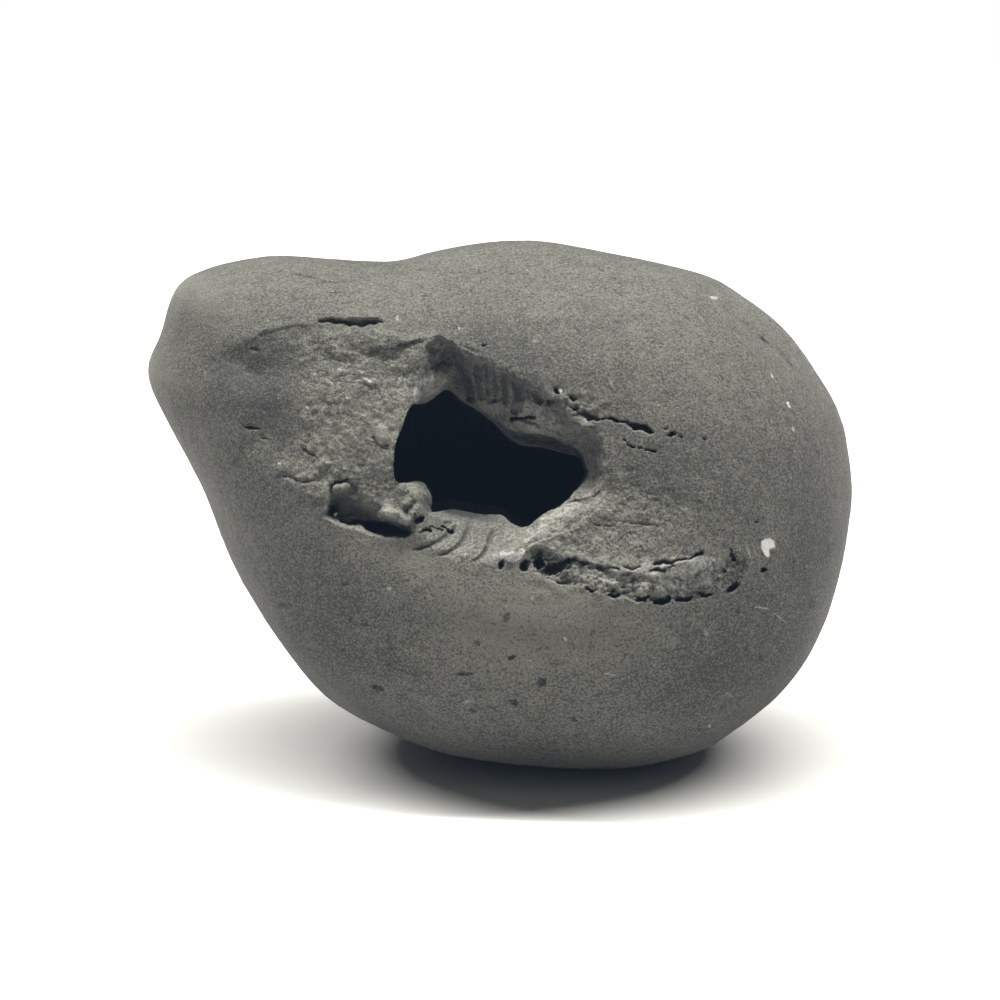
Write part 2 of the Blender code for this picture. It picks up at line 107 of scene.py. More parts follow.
WALL_EARLIER = 0.8  # the wall falls sooner by this much, and the shelf by the next
SHELF_EARLIER = 0.5
VALLEY = ((-6.7, 18.6), (-4.1, 11.6))  # the crease in the wall above the hole
VALLEY_DEPTH = 1.5
VALLEY_REACH = 2.2
RIM_LEDGE = 0.3  # the fall begins this far inside the rim
RIM_ROUNDING = 0.8
DIP_DEPTH = 1.8  # the skin round the hole dips softly towards it
DIP_REACH = 14.0

# The hollow behind the hole: at each depth, how far the hole's outline is spread from the hollow's middle.
HOLLOW_MIDDLE = (-1.0, 4.4)
HOLLOW_RINGS = [
    (-32, 1), (-12, 1), (-9.5, 1), (-7.5, 1.45), (-4, 1.62), (-1, 1.55), (3, 1.3),
    (6.5, 0.85), (8.5, 0.35),
]  # fmt: skip
TURNED_IN = (-14.5, -11.5)  # the depths between which the hole's edge turns inwards
RING_POINTS = 180
RINGS = 40
PAINTED_SHADE_REACH = (0.0, 5.0)  # how far in from the hole's edge the painted shade on the hollow's wall comes in
HOLLOW_ROUGHNESS = 0.8

# --- The rough ground to the left of the hole, where the skin has spalled away ---

RECESS = [
    (-29.6, 12), (-30.6, 16.7), (-27.5, 18), (-25.2, 19), (-22.5, 19.5), (-19.8, 19.8), (-13.1, 19.6),
    (-10.3, 18.5), (-6.7, 17.5), (-3, 11), (-3, 3), (-7, -2.4), (-12.3, -3.2), (-16.1, -2.3),
    (-18.8, -1.2), (-23.5, 1.2), (-28.6, 5.4),
]  # fmt: skip
RECESS_DEPTH = 1.5
RECESS_BOWL = 5.0  # it deepens over this width
RECESS_FADE = (-1.0, -9.0)  # and comes in between these places across
MATRIX = [
    (-22, 17.8), (-21.5, 13.6), (-22, 10.6), (-20.8, 8.6), (-22.6, 6.2), (-24.4, 4.4), (-23.2, 2.2),
    (-20.2, 0.4), (-17.6, 0.6), (-9, -2.4), (-3, 3), (-3, 12), (-6.7, 18.6), (-10.5, 18.2),
    (-13.1, 19), (-19, 18.8),
]  # fmt: skip
MATRIX_HEIGHT = 0.3
MATRIX_EDGE = (-0.4, 0.6)  # edges run from the first to the second of such numbers, inside the outline

# The pit at the lower left gets deeper downwards, and ends in a black crevice under its lower rim.
PIT = [
    (-18.8, -1), (-18.4, 0.1), (-18.5, 1.2), (-18.1, 2.3), (-17.4, 2.9), (-16.1, 2.9), (-15.3, 2.4),
    (-14.8, 1.3), (-13.7, 0.4), (-12.9, 0), (-12.4, -1), (-10.7, -1.4), (-9.4, -2.1), (-9.4, -2.9),
    (-10.3, -3.2), (-12.3, -3.3), (-13.5, -3), (-14.6, -2.5), (-16.6, -2), (-17.7, -1.7),
]  # fmt: skip
LOWER_RIM = [
    (-18.8, -1.2), (-17.7, -1.7), (-16.6, -2), (-14.6, -2.5), (-13.5, -3), (-12.3, -3.3), (-9.4, -2.9),
]  # fmt: skip
PIT_DEPTH = 2.3  # under the lower rim
PIT_TOP_DEPTH = 0.5
PIT_SLOPE = (3.2, 0.6)  # how far up from the lower rim it begins to deepen, and is deepest
PIT_EDGE = (-0.3, 0.7)

# --- The ground to the right of the hole: a shallow plate, and the frilled band below it ---

PLATE = [
    (3.2, -2.5), (5.3, -0.5), (7, 0.6), (9, 3), (11.2, 4.2), (15, 4), (20.4, 1.9), (24.6, -1.4),
    (26.3, -4.2), (25.5, -6), (21.4, -6.6), (15, -7.4), (8, -6.4), (4.6, -5.2),
]  # fmt: skip
PLATE_DEPTH = 0.35
PLATE_EDGE = (-0.5, 3.0)
PLATE_FADE = (27.0, 17.0)  # it comes in between these places across
BAND = [(4.6, -6), (8.6, -7.4), (13, -8.6), (17.4, -9), (21.6, -8.5), (25.2, -6.8)]
BAND_HALF_WIDTH = 1.5
BAND_EDGE = 0.5
BAND_DEPTH = 0.2

# --- Small forms ---

SUNK_START = -0.05  # sunk places begin just outside their outline
HOLE_EDGE = (1.25, 0.5)  # as shares of the hole's reach
CRACK_EDGE = (1.4, 0.03)  # as a share of the crack's half width, and in millimetres
KNOB_FULLNESS = 0.8  # 0.5 makes the knobs ellipsoids, and more makes them more pointed
# Sunk places with an outline: the outline, its depth, and how far inside it they are full.
SUNK = [
    ([(-15.2, -1.6), (-13, -1.4), (-11.4, -1.8), (-10.4, -2.4), (-9.3, -2.9), (-10, -3.3), (-12.6, -3.35),
      (-13.4, -3), (-14.6, -2.4)], 3.4, 0.35),
    ([(-18.6, 0.2), (-17.6, 0.3), (-17.6, -0.8), (-18.3, -1.1)], 1.6, 0.4),
    ([(-19.4, 19.9), (-18.4, 20.15), (-13, 20.15), (-12.8, 19.6), (-13.4, 19), (-14, 19.3), (-14.8, 18.8),
      (-15.6, 19.1), (-16.3, 18.9), (-16.8, 19.4), (-17.8, 19.3), (-18.4, 19.6)], 0.6, 0.5),
    ([(-9.4, -0.5), (-8.9, -1.1), (-8.1, -1.1), (-8.2, -1.7), (-9, -2.1), (-9.3, -1.5)], 2.2, 0.3),
    ([(4.4, -7.2), (4.9, -6.3), (5.5, -6), (6.4, -5.8), (8.3, -5.4), (8, -5.8), (7, -6.4), (6.1, -7.2)],
     2.2, 0.3),
    ([(13.6, 8.95), (14.7, 9), (15.7, 8.85), (16.3, 8.3), (16.5, 7.9), (16.1, 7.65), (15.2, 8), (14.2, 8.15)],
     1.8, 0.22),
    ([(1.1, 9.5), (2.4, 9.65), (3.8, 9.75), (3.9, 9.45), (2.6, 9.35), (1.2, 9.2)], 1.2, 0.16),
    ([(5.7, 12.7), (6.2, 12.8), (6.5, 12.1), (6.3, 11.8), (5.9, 12)], 1.3, 0.25),
    ([(7.1, 12), (7.9, 11.9), (8.4, 11.4), (8.1, 11.1), (7.4, 11.4)], 1.1, 0.25),
]  # fmt: skip

# Round and oval holes: centre, half length, half width, depth, and the turn of the long side in degrees.
HOLES = [
    (5.5, 11.3, 0.35, 0.3, 1, 0),
    (8.3, 10.5, 0.4, 0.22, 0.7, -30),
    (18.4, 7.7, 0.45, 0.3, 1.3, 20),
    (17.8, 8.3, 0.25, 0.1, 0.4, -10),
    (19.4, 7.4, 0.35, 0.12, 0.4, -10),
    (0.2, -6.3, 0.28, 0.5, 1.3, -25),
    (2.6, -6.4, 0.5, 0.62, 2, -20),
    (4.1, -5, 0.85, 0.65, 0.8, -10),
    (4.2, -6.1, 0.6, 0.5, 2.4, 25),
    (8.9, -6.1, 0.4, 0.2, 0.8, -20),
    (10.9, -6.7, 0.45, 0.2, 0.8, -20),
    (12.2, -9.1, 0.2, 0.2, 0.7, 0),
    (13.2, -8.6, 0.18, 0.18, 0.6, 0),
    (24.9, -8.8, 0.8, 0.32, 1.6, 35),
    (28.3, -6.9, 0.42, 0.22, 1.1, 35),
    (22, 7.1, 0.2, 0.15, 0.5, 0),
    (24.9, 6.1, 0.2, 0.15, 0.5, 0),
    (25.5, 9.8, 0.15, 0.12, 0.4, 0),
    (23.5, 9.3, 0.15, 0.12, 0.4, 0),
    (-1.7, 17.3, 0.3, 0.14, 0.4, 15),
    (34.2, 5.2, 0.25, 0.2, 0.4, 0),
    (29.5, -0.1, 0.3, 0.2, 0.5, 0),
    (27.5, -1.8, 0.2, 0.14, 0.4, 0),
    (4.6, -19.1, 0.3, 0.25, 0.4, 0),
    (1.4, -16, 0.2, 0.2, 0.4, 0),
    (-13.2, -19.5, 0.45, 0.2, 0.35, 20),
    (24.1, -7, 0.2, 0.15, 0.5, 0),
    (-12.2, 6.6, 0.3, 0.2, 0.5, -40),
    (-11.3, 6, 0.3, 0.2, 0.6, -40),
    (-20.6, 5.8, 0.8, 0.22, 0.3, -28),
    (-26.6, 8.4, 0.75, 0.16, 0.5, -6),
    (-25.2, 7.3, 0.25, 0.12, 0.4, 0),
    (-26.4, 16.8, 0.5, 0.14, 0.3, -12),
]  # fmt: skip

# Lumps that stand on the broken ground: centre, half length, half width, height, and the turn in degrees.
KNOBS = [
    (-16.95, 1.95, 1.1, 0.72, 0.75, 5),
    (-16.2, 2.1, 0.25, 0.4, 0.4, 10),
    (-17.7, -0.8, 0.3, 0.3, 1.9, 25),
    (-16.1, -1.2, 0.8, 0.3, 0.6, 8),
    (-11.8, -0.7, 1.2, 0.6, 1.5, -8),
    (-10.2, -1.5, 0.9, 0.65, 1.7, -25),
    (-9.3, -1, 0.6, 0.9, 1.2, 20),
    (-10.3, 1.9, 0.9, 0.8, 0.8, 0),
    (-8.8, 1.2, 1.2, 0.9, 0.9, -20),
    (-10.1, 0.6, 1, 0.9, 0.9, 0),
    (-8.6, -0.2, 0.9, 0.9, 0.8, 0),
    (28.6, -4, 0.7, 0.8, 0.1, 0),
    (3, 8.5, 1.9, 0.55, 0.9, -20),
    (5.8, 7.5, 1.6, 0.5, 0.7, -20),
    (8.7, 9.2, 1.3, 0.32, 0.8, -12),
    (8.4, 10.2, 0.6, 0.2, 0.5, 35),
    (4.4, 10.8, 0.5, 0.45, 0.6, 0),
    (5.6, 11.1, 0.4, 0.25, 0.5, 0),
    (-0.6, 11, 1, 0.3, 0.6, 15),
    (-3, 13.8, 1.3, 0.22, 0.4, -70),
    (-7, 13.2, 2.9, 1.5, 1.2, 38),
    (-8.6, 11.8, 1.4, 1.2, 0.9, 60),
    (1, -5.2, 0.9, 0.7, 0.6, 0),
    (-20.9, 9.4, 0.7, 0.9, 0.3, 20),
    (-13.9, 13.3, 1.2, 0.3, 0.25, -12),
    (-12.7, 7.6, 0.9, 1.2, 0.45, 10),
    (-19, 4.6, 0.9, 0.6, 0.35, 10),
]  # fmt: skip

# Cracks and grooves: the line, its half width and its depth.
CRACKS = [
    ([(7.6, 10.6), (8.5, 10), (9.2, 9.9), (9.9, 9.4), (11, 9.3), (12, 9.4), (12.6, 9), (13.8, 9)],
     0.11, 0.9),
    ([(9, 9.9), (9.9, 9.5)], 0.3, 1.1),
    ([(13.4, 7.1), (14.1, 6.4), (15.3, 6.2)], 0.11, 0.6),
    ([(15.7, 6.1), (16.6, 5.8)], 0.13, 0.8),
    ([(16.6, -6.25), (17.6, -5.95), (18.3, -6.1), (19.3, -5.75), (20.4, -5.7), (21.1, -5.25), (21.7, -5.05)],
     0.13, 1.0),
    ([(16.2, -7.05), (17, -6.75), (17.5, -6.85), (18.6, -6.45)], 0.14, 0.9),
    ([(8.2, -5.8), (9, -6.1), (9.8, -6.3)], 0.12, 0.5),
    ([(11.2, -6.6), (12, -6.55), (12.8, -6.75)], 0.1, 0.45),
    ([(13.4, -6.55), (14.2, -6.7), (15, -6.6)], 0.1, 0.5),
    ([(13.2, -7.3), (14, -7.2)], 0.12, 0.4),
    ([(24.7, -4.6), (24.8, -5.1), (25.2, -5.7)], 0.1, 0.7),
    ([(6, -8), (6.4, -8.3), (7.1, -8.2)], 0.14, 0.5),
    ([(-19.3, 19.75), (-17.8, 19.9), (-16.6, 19.7), (-15.4, 19.75), (-14.2, 19.6), (-12.6, 19.8)],
     0.13, 0.6),
    ([(-8.6, -2.85), (-7.9, -2.6), (-7.5, -2.75)], 0.15, 0.9),
    ([(-7.7, -2.35), (-6.9, -2.3), (-6.2, -2.6)], 0.09, 0.6),
    ([(-6.3, -2.2), (-5.7, -2.4), (-5.2, -2.8)], 0.14, 0.9),
    ([(-5.9, -1.95), (-5.3, -1.8)], 0.1, 0.3),
    ([(-18.2, 1.5), (-18.1, 2.1), (-17.6, 2.6), (-16.9, 2.8), (-16.2, 3)], 0.14, 0.6),
    ([(-17.1, -1.7), (-16, -2), (-15, -1.6)], 0.2, 1.2),
    ([(-13.6, 7.5), (-13, 6.6), (-12.2, 6.1)], 0.12, 0.35),
    ([(9.5, -1.9), (10.6, -2), (12, -2.1)], 0.08, 0.15),
    ([(14, -1.9), (15.4, -1.9), (16.9, -2.2)], 0.08, 0.18),
    ([(25.9, 19.8), (27.6, 18.1), (29.5, 16.9), (31.8, 14.4)], 0.3, 0.25),
    ([(24.9, 19), (26.4, 17.8)], 0.25, 0.2),
    ([(18.5, 22.8), (19.6, 22.1), (20.6, 21.7)], 0.25, 0.2),
    ([(-23.6, 3.3), (-21.2, 2.6), (-19.6, 2.9)], 0.2, 0.25),
    ([(-28, 10.6), (-24.4, 10.2), (-22.2, 10.6)], 0.15, 0.06),
    ([(-27.4, 14.4), (-23.9, 14), (-21.9, 14.4)], 0.15, 0.06),
]  # fmt: skip

# Ledges: as one goes along the line, the ground on the right-hand side drops by the height (or rises, where
# it is negative) over the width, steeply at first, and comes back over the reach.
LEDGES = [
    ([(-33, 13.5), (-31, 15.8), (-29.4, 17.2), (-27.5, 18), (-25.2, 19), (-22.5, 19.5), (-19.8, 19.8),
      (-16.6, 19.5), (-12, 19.3)], 0.42, 1.6, 8),
    ([(-29.4, 16.2), (-27.5, 17.6), (-25.2, 18.8), (-22.5, 19.3), (-20.2, 19.5)], 0.12, 0.2, 2.5),
    ([(-20, 19.9), (-18.6, 20.2), (-15, 20.15), (-12.3, 20.2)], 0.42, 0.25, 2.4),
    ([(-0.5, 19.9), (1.6, 19.8), (5, 19.9), (9.6, 19.6), (12, 18.6)], 0.12, 0.7, 5),
    ([(-33.4, 14.6), (-31.4, 16.6), (-29.5, 18.3), (-27.9, 19.1), (-25.5, 19.9), (-21.5, 20.5)],
     0.1, 0.4, 2),
    ([(-15.4, 16.7), (-12.9, 17.1), (-12.1, 16.7), (-11.5, 16.8), (-10.6, 17.4), (-9.2, 17.8), (-7, 18.2)],
     0.32, 0.25, 2),
    ([(-18.8, 18.1), (-17.6, 17.2), (-16.2, 16.7), (-14.4, 16.6)], -0.2, 0.3, 1.5),
    ([(-18.8, 14.2), (-16.2, 14.3), (-14, 13.7)], 0.12, 0.2, 1.6),
    ([(-22.4, 3.2), (-20.6, 4), (-19.4, 4.6)], -0.12, 0.25, 1.5),
    ([(1.6, -5.4), (2.2, -5), (4.3, -3.7), (7.1, -2.5), (8.8, -1.5), (10.4, -0.4), (11.4, 0.5)],
     -0.3, 0.2, 2),
    ([(6.2, -1.3), (7.4, -0.6), (8.4, -0.9)], -0.2, 0.2, 1.2),
    ([(6.3, 0), (8, 0.7), (9.6, 1), (10.4, 1.4), (11, 2.2), (12.2, 3.3)], 0.35, 0.2, 2.4),
    ([(9.2, -5.4), (9.6, -4.2), (10.4, -3.1)], -0.3, 0.25, 1.2),
    ([(6, -7.6), (7, -6.9), (8.2, -6.4)], -0.4, 0.25, 1.2),
    ([(16.5, -6.6), (17.8, -6.2), (18.9, -5.8), (21, -5.7)], -0.3, 0.2, 1),
]  # fmt: skip

LEDGE_FADE = 0.5  # at both ends, as a share of the reach and 1 mm together

# Crescents under the band's frills: centre and radius.
FRILLS = [
    (9.8, -8.7, 0.5), (12.4, -9, 0.9), (15.2, -9.6, 0.6), (17.3, -9.6, 0.85), (19.7, -9.6, 0.8),
    (22.1, -9.3, 0.45),
]  # fmt: skip
FRILL_FLATNESS = 1.25
FRILL_HALF_WIDTH = 0.24
FRILL_EDGE = 0.05
FRILL_UNDERSIDE = (0.1, 0.6)  # the shares of the radius between which a crescent comes in, below its centre
FRILL_DEPTH = 1.2
LOBE_HEIGHT = 0.25  # of the frill above each crescent
LOBE_RAISE = 0.2

# The shell's ribs: printed across the wall above the hole, and curved round the lip below it.
WALL_GROOVES = [  # each with its half width and its depth
    ([(-5, 17.2), (-4.2, 15.2), (-3.5, 13.6), (-3.1, 11.6)], 0.7, 0.8),
    ([(-2.5, 15), (-2.4, 13.6), (-2.2, 11.6)], 0.5, 0.45),
    ([(-1.5, 15.2), (-1.5, 13.4), (-1.4, 11.4)], 0.28, 0.25),
    ([(-0.6, 14.8), (-0.5, 13.2), (-0.5, 11.4)], 0.28, 0.3),
    ([(0.5, 14.6), (0.5, 12.8), (0.5, 11.2)], 0.5, 0.5),
    ([(2.8, 13.8), (3, 12.4), (3.2, 11.2)], 0.28, 0.3),
    ([(4.9, 12.6), (5.1, 11.6), (5.2, 10.8)], 0.28, 0.3),
    ([(1.3, 14.8), (1.9, 13), (2.1, 11.6), (1.7, 10.3)], 0.75, 0.9),
    ([(3.5, 14), (3.7, 12.6), (4.1, 11.4)], 0.65, 0.8),
]
LIP_GROOVES = [
    [(-9.8, -4.9), (-9.1, -4.6), (-8, -4.35), (-7.2, -4.05), (-6.3, -3.65), (-5.7, -3.2), (-5.1, -2.6),
     (-4.8, -2.2), (-4.6, -1.4)],
    [(-7.1, -5.8), (-6.3, -5.25), (-5.5, -5), (-4.8, -4.6), (-4.2, -4), (-3.7, -3.3), (-3.3, -2.4),
     (-3.2, -1.3)],
    [(-3.3, -6.5), (-2.7, -5.9), (-2, -5.5), (-1.6, -4.8), (-1.2, -4.1), (-0.9, -3.1), (-0.3, -1.9)],
]
WALL_START = (0.3, 1.4)  # the grooves of the wall come in this far inside the rim
LIP_GROOVE_HALF_WIDTH = 0.4
LIP_GROOVE_DEPTH = 0.42
LIP_GROOVE_FADE = 1.5  # towards its ends
LIP_RIB_HALF_WIDTH = 1.0
LIP_RIB_HEIGHT = 0.15
FINE_GROOVE_DEPTH = 0.07
FINE_GROOVE_FADE = 1.0
FINE_GROOVE_PLACES = (0.25, 0.5, 0.75)  # as shares of the way from one groove to the next
RIB_POINTS = 6

# --- The mesh ---

SPHERE_LEVEL = 6
FINE_GROUND = [
    (-31, 17), (-24, 21.5), (-12, 22), (-5, 21), (3, 17), (10, 13), (17, 11),
    (25, 7), (26, 2), (31, -2.5), (31, -8), (24, -12), (10, -12), (1, -9.5),
    (-8, -8), (-19, -5.5), (-28, 1), (-32, 10),
]  # fmt: skip
FINE_CUTS = 6
FRONT_CUTS = 1
FRONT_DEPTH = 4.0  # the front's faces reach this far behind the outline's plane
FACE_FADE = (0.0, -6.0)  # the depths between which the broken ground's shapes and looks come in
MARK_FADE = (4.0, -6.0)  # and those of the stains, painted light and shade, and marks
SMOOTHING_ROUNDS = 12  # for the painted shade in hollows and the painted highlight on edges

# --- Colour: broad soft stains, and small flecks and scratches ---

# Paler (above 0) and darker stains, partly painted light and shade: centre, reach along and across, the turn
# in degrees, and strength.
# Some are painted light (the pale band along the lower left edge, lit facets by the hole), and some painted
# shade (under rims and round the pit).
STAINS_AND_PAINTED_LIGHT = [
    (4, -12.5, 12, 6, 0, 0.55),
    (18.5, 4.8, 6.5, 3.4, 0, -0.28),
    (-26, 12, 3.4, 5.5, 0, -0.25),
    (-23, 15.8, 4.8, 2.4, 12, -0.2),
    (-26, 10.8, 3, 2, 0, -0.3),
    (-25, 3, 4, 5, 0, -0.2),
    (2, 18, 12, 3, 0, -0.12),
    (1.5, 16.2, 6.5, 1.8, -25, -0.25),
    (26, -14, 9, 8, 0, -0.25),
    (28, 1, 8, 8, 0, -0.12),
    (-18.5, -13, 8, 7, 0, -0.25),
    (10, -20.5, 18, 3, 0, -0.12),
    (-33, 17, 3.5, 9, 0, -0.12),
    (-5, -3.6, 4.5, 1.6, 0, -0.15),
    (-10.5, -5.5, 4, 1.6, -10, 0.45),
    (-12, 8, 2.6, 4, 0, 0.35),
    (-12.8, 7.8, 0.9, 1.1, 0, 0.3),
    (-3, -2.5, 4.5, 1.2, -10, -0.35),
    (-4.3, 13.2, 1.3, 1.3, 0, -0.4),
    (-5.6, 15.6, 1.8, 1.2, 30, -0.2),
    (-7, 12.3, 2.4, 1.4, 35, 0.8),
    (3.6, 8.2, 2.8, 0.7, -12, 0.6),
    (-2, 10.9, 2.4, 0.5, -25, 0.5),
    (1.2, 10.2, 1.6, 0.6, -30, 0.4),
    (3.2, 10.6, 1.2, 0.9, 0, 0.3),
    (5.2, -1.6, 3.4, 1.4, 40, 0.3),
    (15.5, -8, 8, 1.3, 3, 0.35),
    (21, -5.6, 3.5, 1.2, 10, 0.2),
    (20, -8.2, 4.5, 1.2, 8, 0.15),
    (-16, 0.6, 1.8, 1.4, -20, -0.3),
    (-11.8, -0.5, 1.2, 0.6, -8, 0.5),
    (2.9, 13.6, 1.2, 1, 0, -0.45),
    (6, 11, 1.4, 0.9, -20, -0.3),
    (6, 7.7, 1.2, 0.8, 0, 0.35),
    (12, 1.4, 4, 1.4, 0, 0.3),
    (-11.5, -17.2, 4, 1.6, -12, -0.3),
    (23, -17.5, 7, 3, 10, -0.25),
    (33.5, -5, 2.5, 9, 0, -0.35),
    (25, -5.2, 1.5, 1.2, 0, 0.2),
    (-26, 7.4, 1.6, 1, 0, 0.3),
    (-18, 7.4, 3, 1.6, 0, 0.35),
    (-29.5, 14, 2, 2, 0, -0.25),
    (-10.6, 17.3, 2, 0.8, -10, -0.35),
    (-16.1, -22, 7, 0.7, -42, 0.6),
    (6.6, -4.6, 1.6, 0.8, -15, 0.35),
    (-7, -1.8, 1.5, 1, 0, -0.4),
    (2.2, -1.6, 1.2, 0.9, 0, -0.3),
    (-13.6, 1.2, 1.6, 1.2, 0, -0.3),
    (-19.9, 1.2, 1.5, 1.2, 0, -0.25),
    (9, 4.6, 1.2, 1.4, 0, 0.35),
    (9.2, -2.2, 1.4, 1, 0, 0.2),
    (0.3, 13.2, 3.4, 1.2, -15, -0.25),
    (10.3, 5.6, 1, 2, 20, -0.3),
]

# Painted shade near the hole, like that on the hollow's wall: middle, reach, the turn, and how dark.
PAINTED_SHADE_SPOTS = [
    (-5, -0.3, 2.6, 0.7, -8, 0.5),
    (-2.6, -0.9, 4.4, 0.9, -11, 0.6),
    (-4.4, 13.1, 1.1, 1.4, 20, 0.45),
    (-17.9, -0.2, 0.7, 0.9, 0, 0.6),
    (-16, -0.2, 1.8, 1.3, -25, 0.55),
    (-17.2, 1.2, 1.6, 0.9, -10, 0.3),
    (-13.6, -1.4, 1.6, 0.8, -15, 0.5),
    (-7.7, 0.7, 0.8, 1.2, 0, 0.5),
]

# White patches: the outline, and how white it is.
WHITE_EDGE = (-0.1, 0.08)
WHITE = [
    ([(-0.1, -5), (0.3, -4.8), (0.75, -5), (1.3, -4.8), (1.8, -5), (2, -4.6), (2.5, -4.4), (2.7, -4.8),
      (2.6, -5.4), (2.1, -5.8), (1.5, -6.1), (1, -6), (0.6, -5.7), (0.1, -5.6)], 0.48),
    ([(8.2, 9.2), (9, 9.3), (10.2, 8.7), (9.4, 8.5), (8.5, 8.7)], 0.5),
    ([(-12.6, -0.3), (-11.9, -0.1), (-10.8, -0.6), (-11.4, -1), (-12.5, -0.9)], 0.2),
    ([(-18, -0.8), (-17.6, -0.6), (-17.4, -1.1), (-17.8, -1.2)], 0.35),
    ([(2.9, -2.3), (5.6, -0.5), (8.8, 2.6), (12.2, 3.7), (10.1, 1), (6.8, -0.9), (2.5, -4.1)], 0.28),
    ([(8, -6.6), (12, -6.8), (16, -5.9), (20, -5.2), (24, -5.6), (25, -7), (22, -8.8),
      (16, -9), (11, -8.3), (8, -7.3)], 0.32),
    ([(-9.8, 10.9), (-6.6, 12.2), (-5.2, 13.8), (-6.4, 14.6), (-8.8, 13.4)], 0.32),
    ([(1.3, 9), (1.4, 11), (3, 11.4), (5, 10.2), (6.6, 8.6), (6, 7.6), (3.5, 8)], 0.24),
    ([(-8.2, 15.6), (-6.9, 17.6), (-5.8, 17.4), (-6.2, 15.4)], 0.22),
]  # fmt: skip

# Painted highlights along edges that catch the light: the line, its half width, and how white it is.
PAINTED_HIGHLIGHT_EDGES = [
    ([(2.8, -3), (3, -2.4), (4.3, -1.1), (5.6, -0.3), (6.4, 0.4), (9.1, 3)], 0.14, 0.36),
    ([(2.9, -4.4), (4.3, -3.7), (5.9, -2.9), (7.5, -2.2)], 0.16, 0.32),
    ([(1.3, 9.2), (1.4, 8.7), (2.7, 8.1), (4.3, 7.9), (6, 7.6)], 0.16, 0.14),
    ([(-4.3, 11.3), (-3.2, 11), (-2.4, 10.2)], 0.14, 0.16),
    ([(-9, 10.9), (-7.6, 11.2), (-6.4, 12.2)], 0.16, 0.12),
    ([(-20.6, 2.9), (-19.8, 3.4), (-19, 3.9)], 0.1, 0.16),
    ([(-22.3, 14.2), (-22.2, 13.2), (-21.9, 12.6)], 0.1, 0.14),
    ([(6.3, -7.7), (7.2, -7), (8.4, -6.6), (9.6, -6.9)], 0.14, 0.16),
]
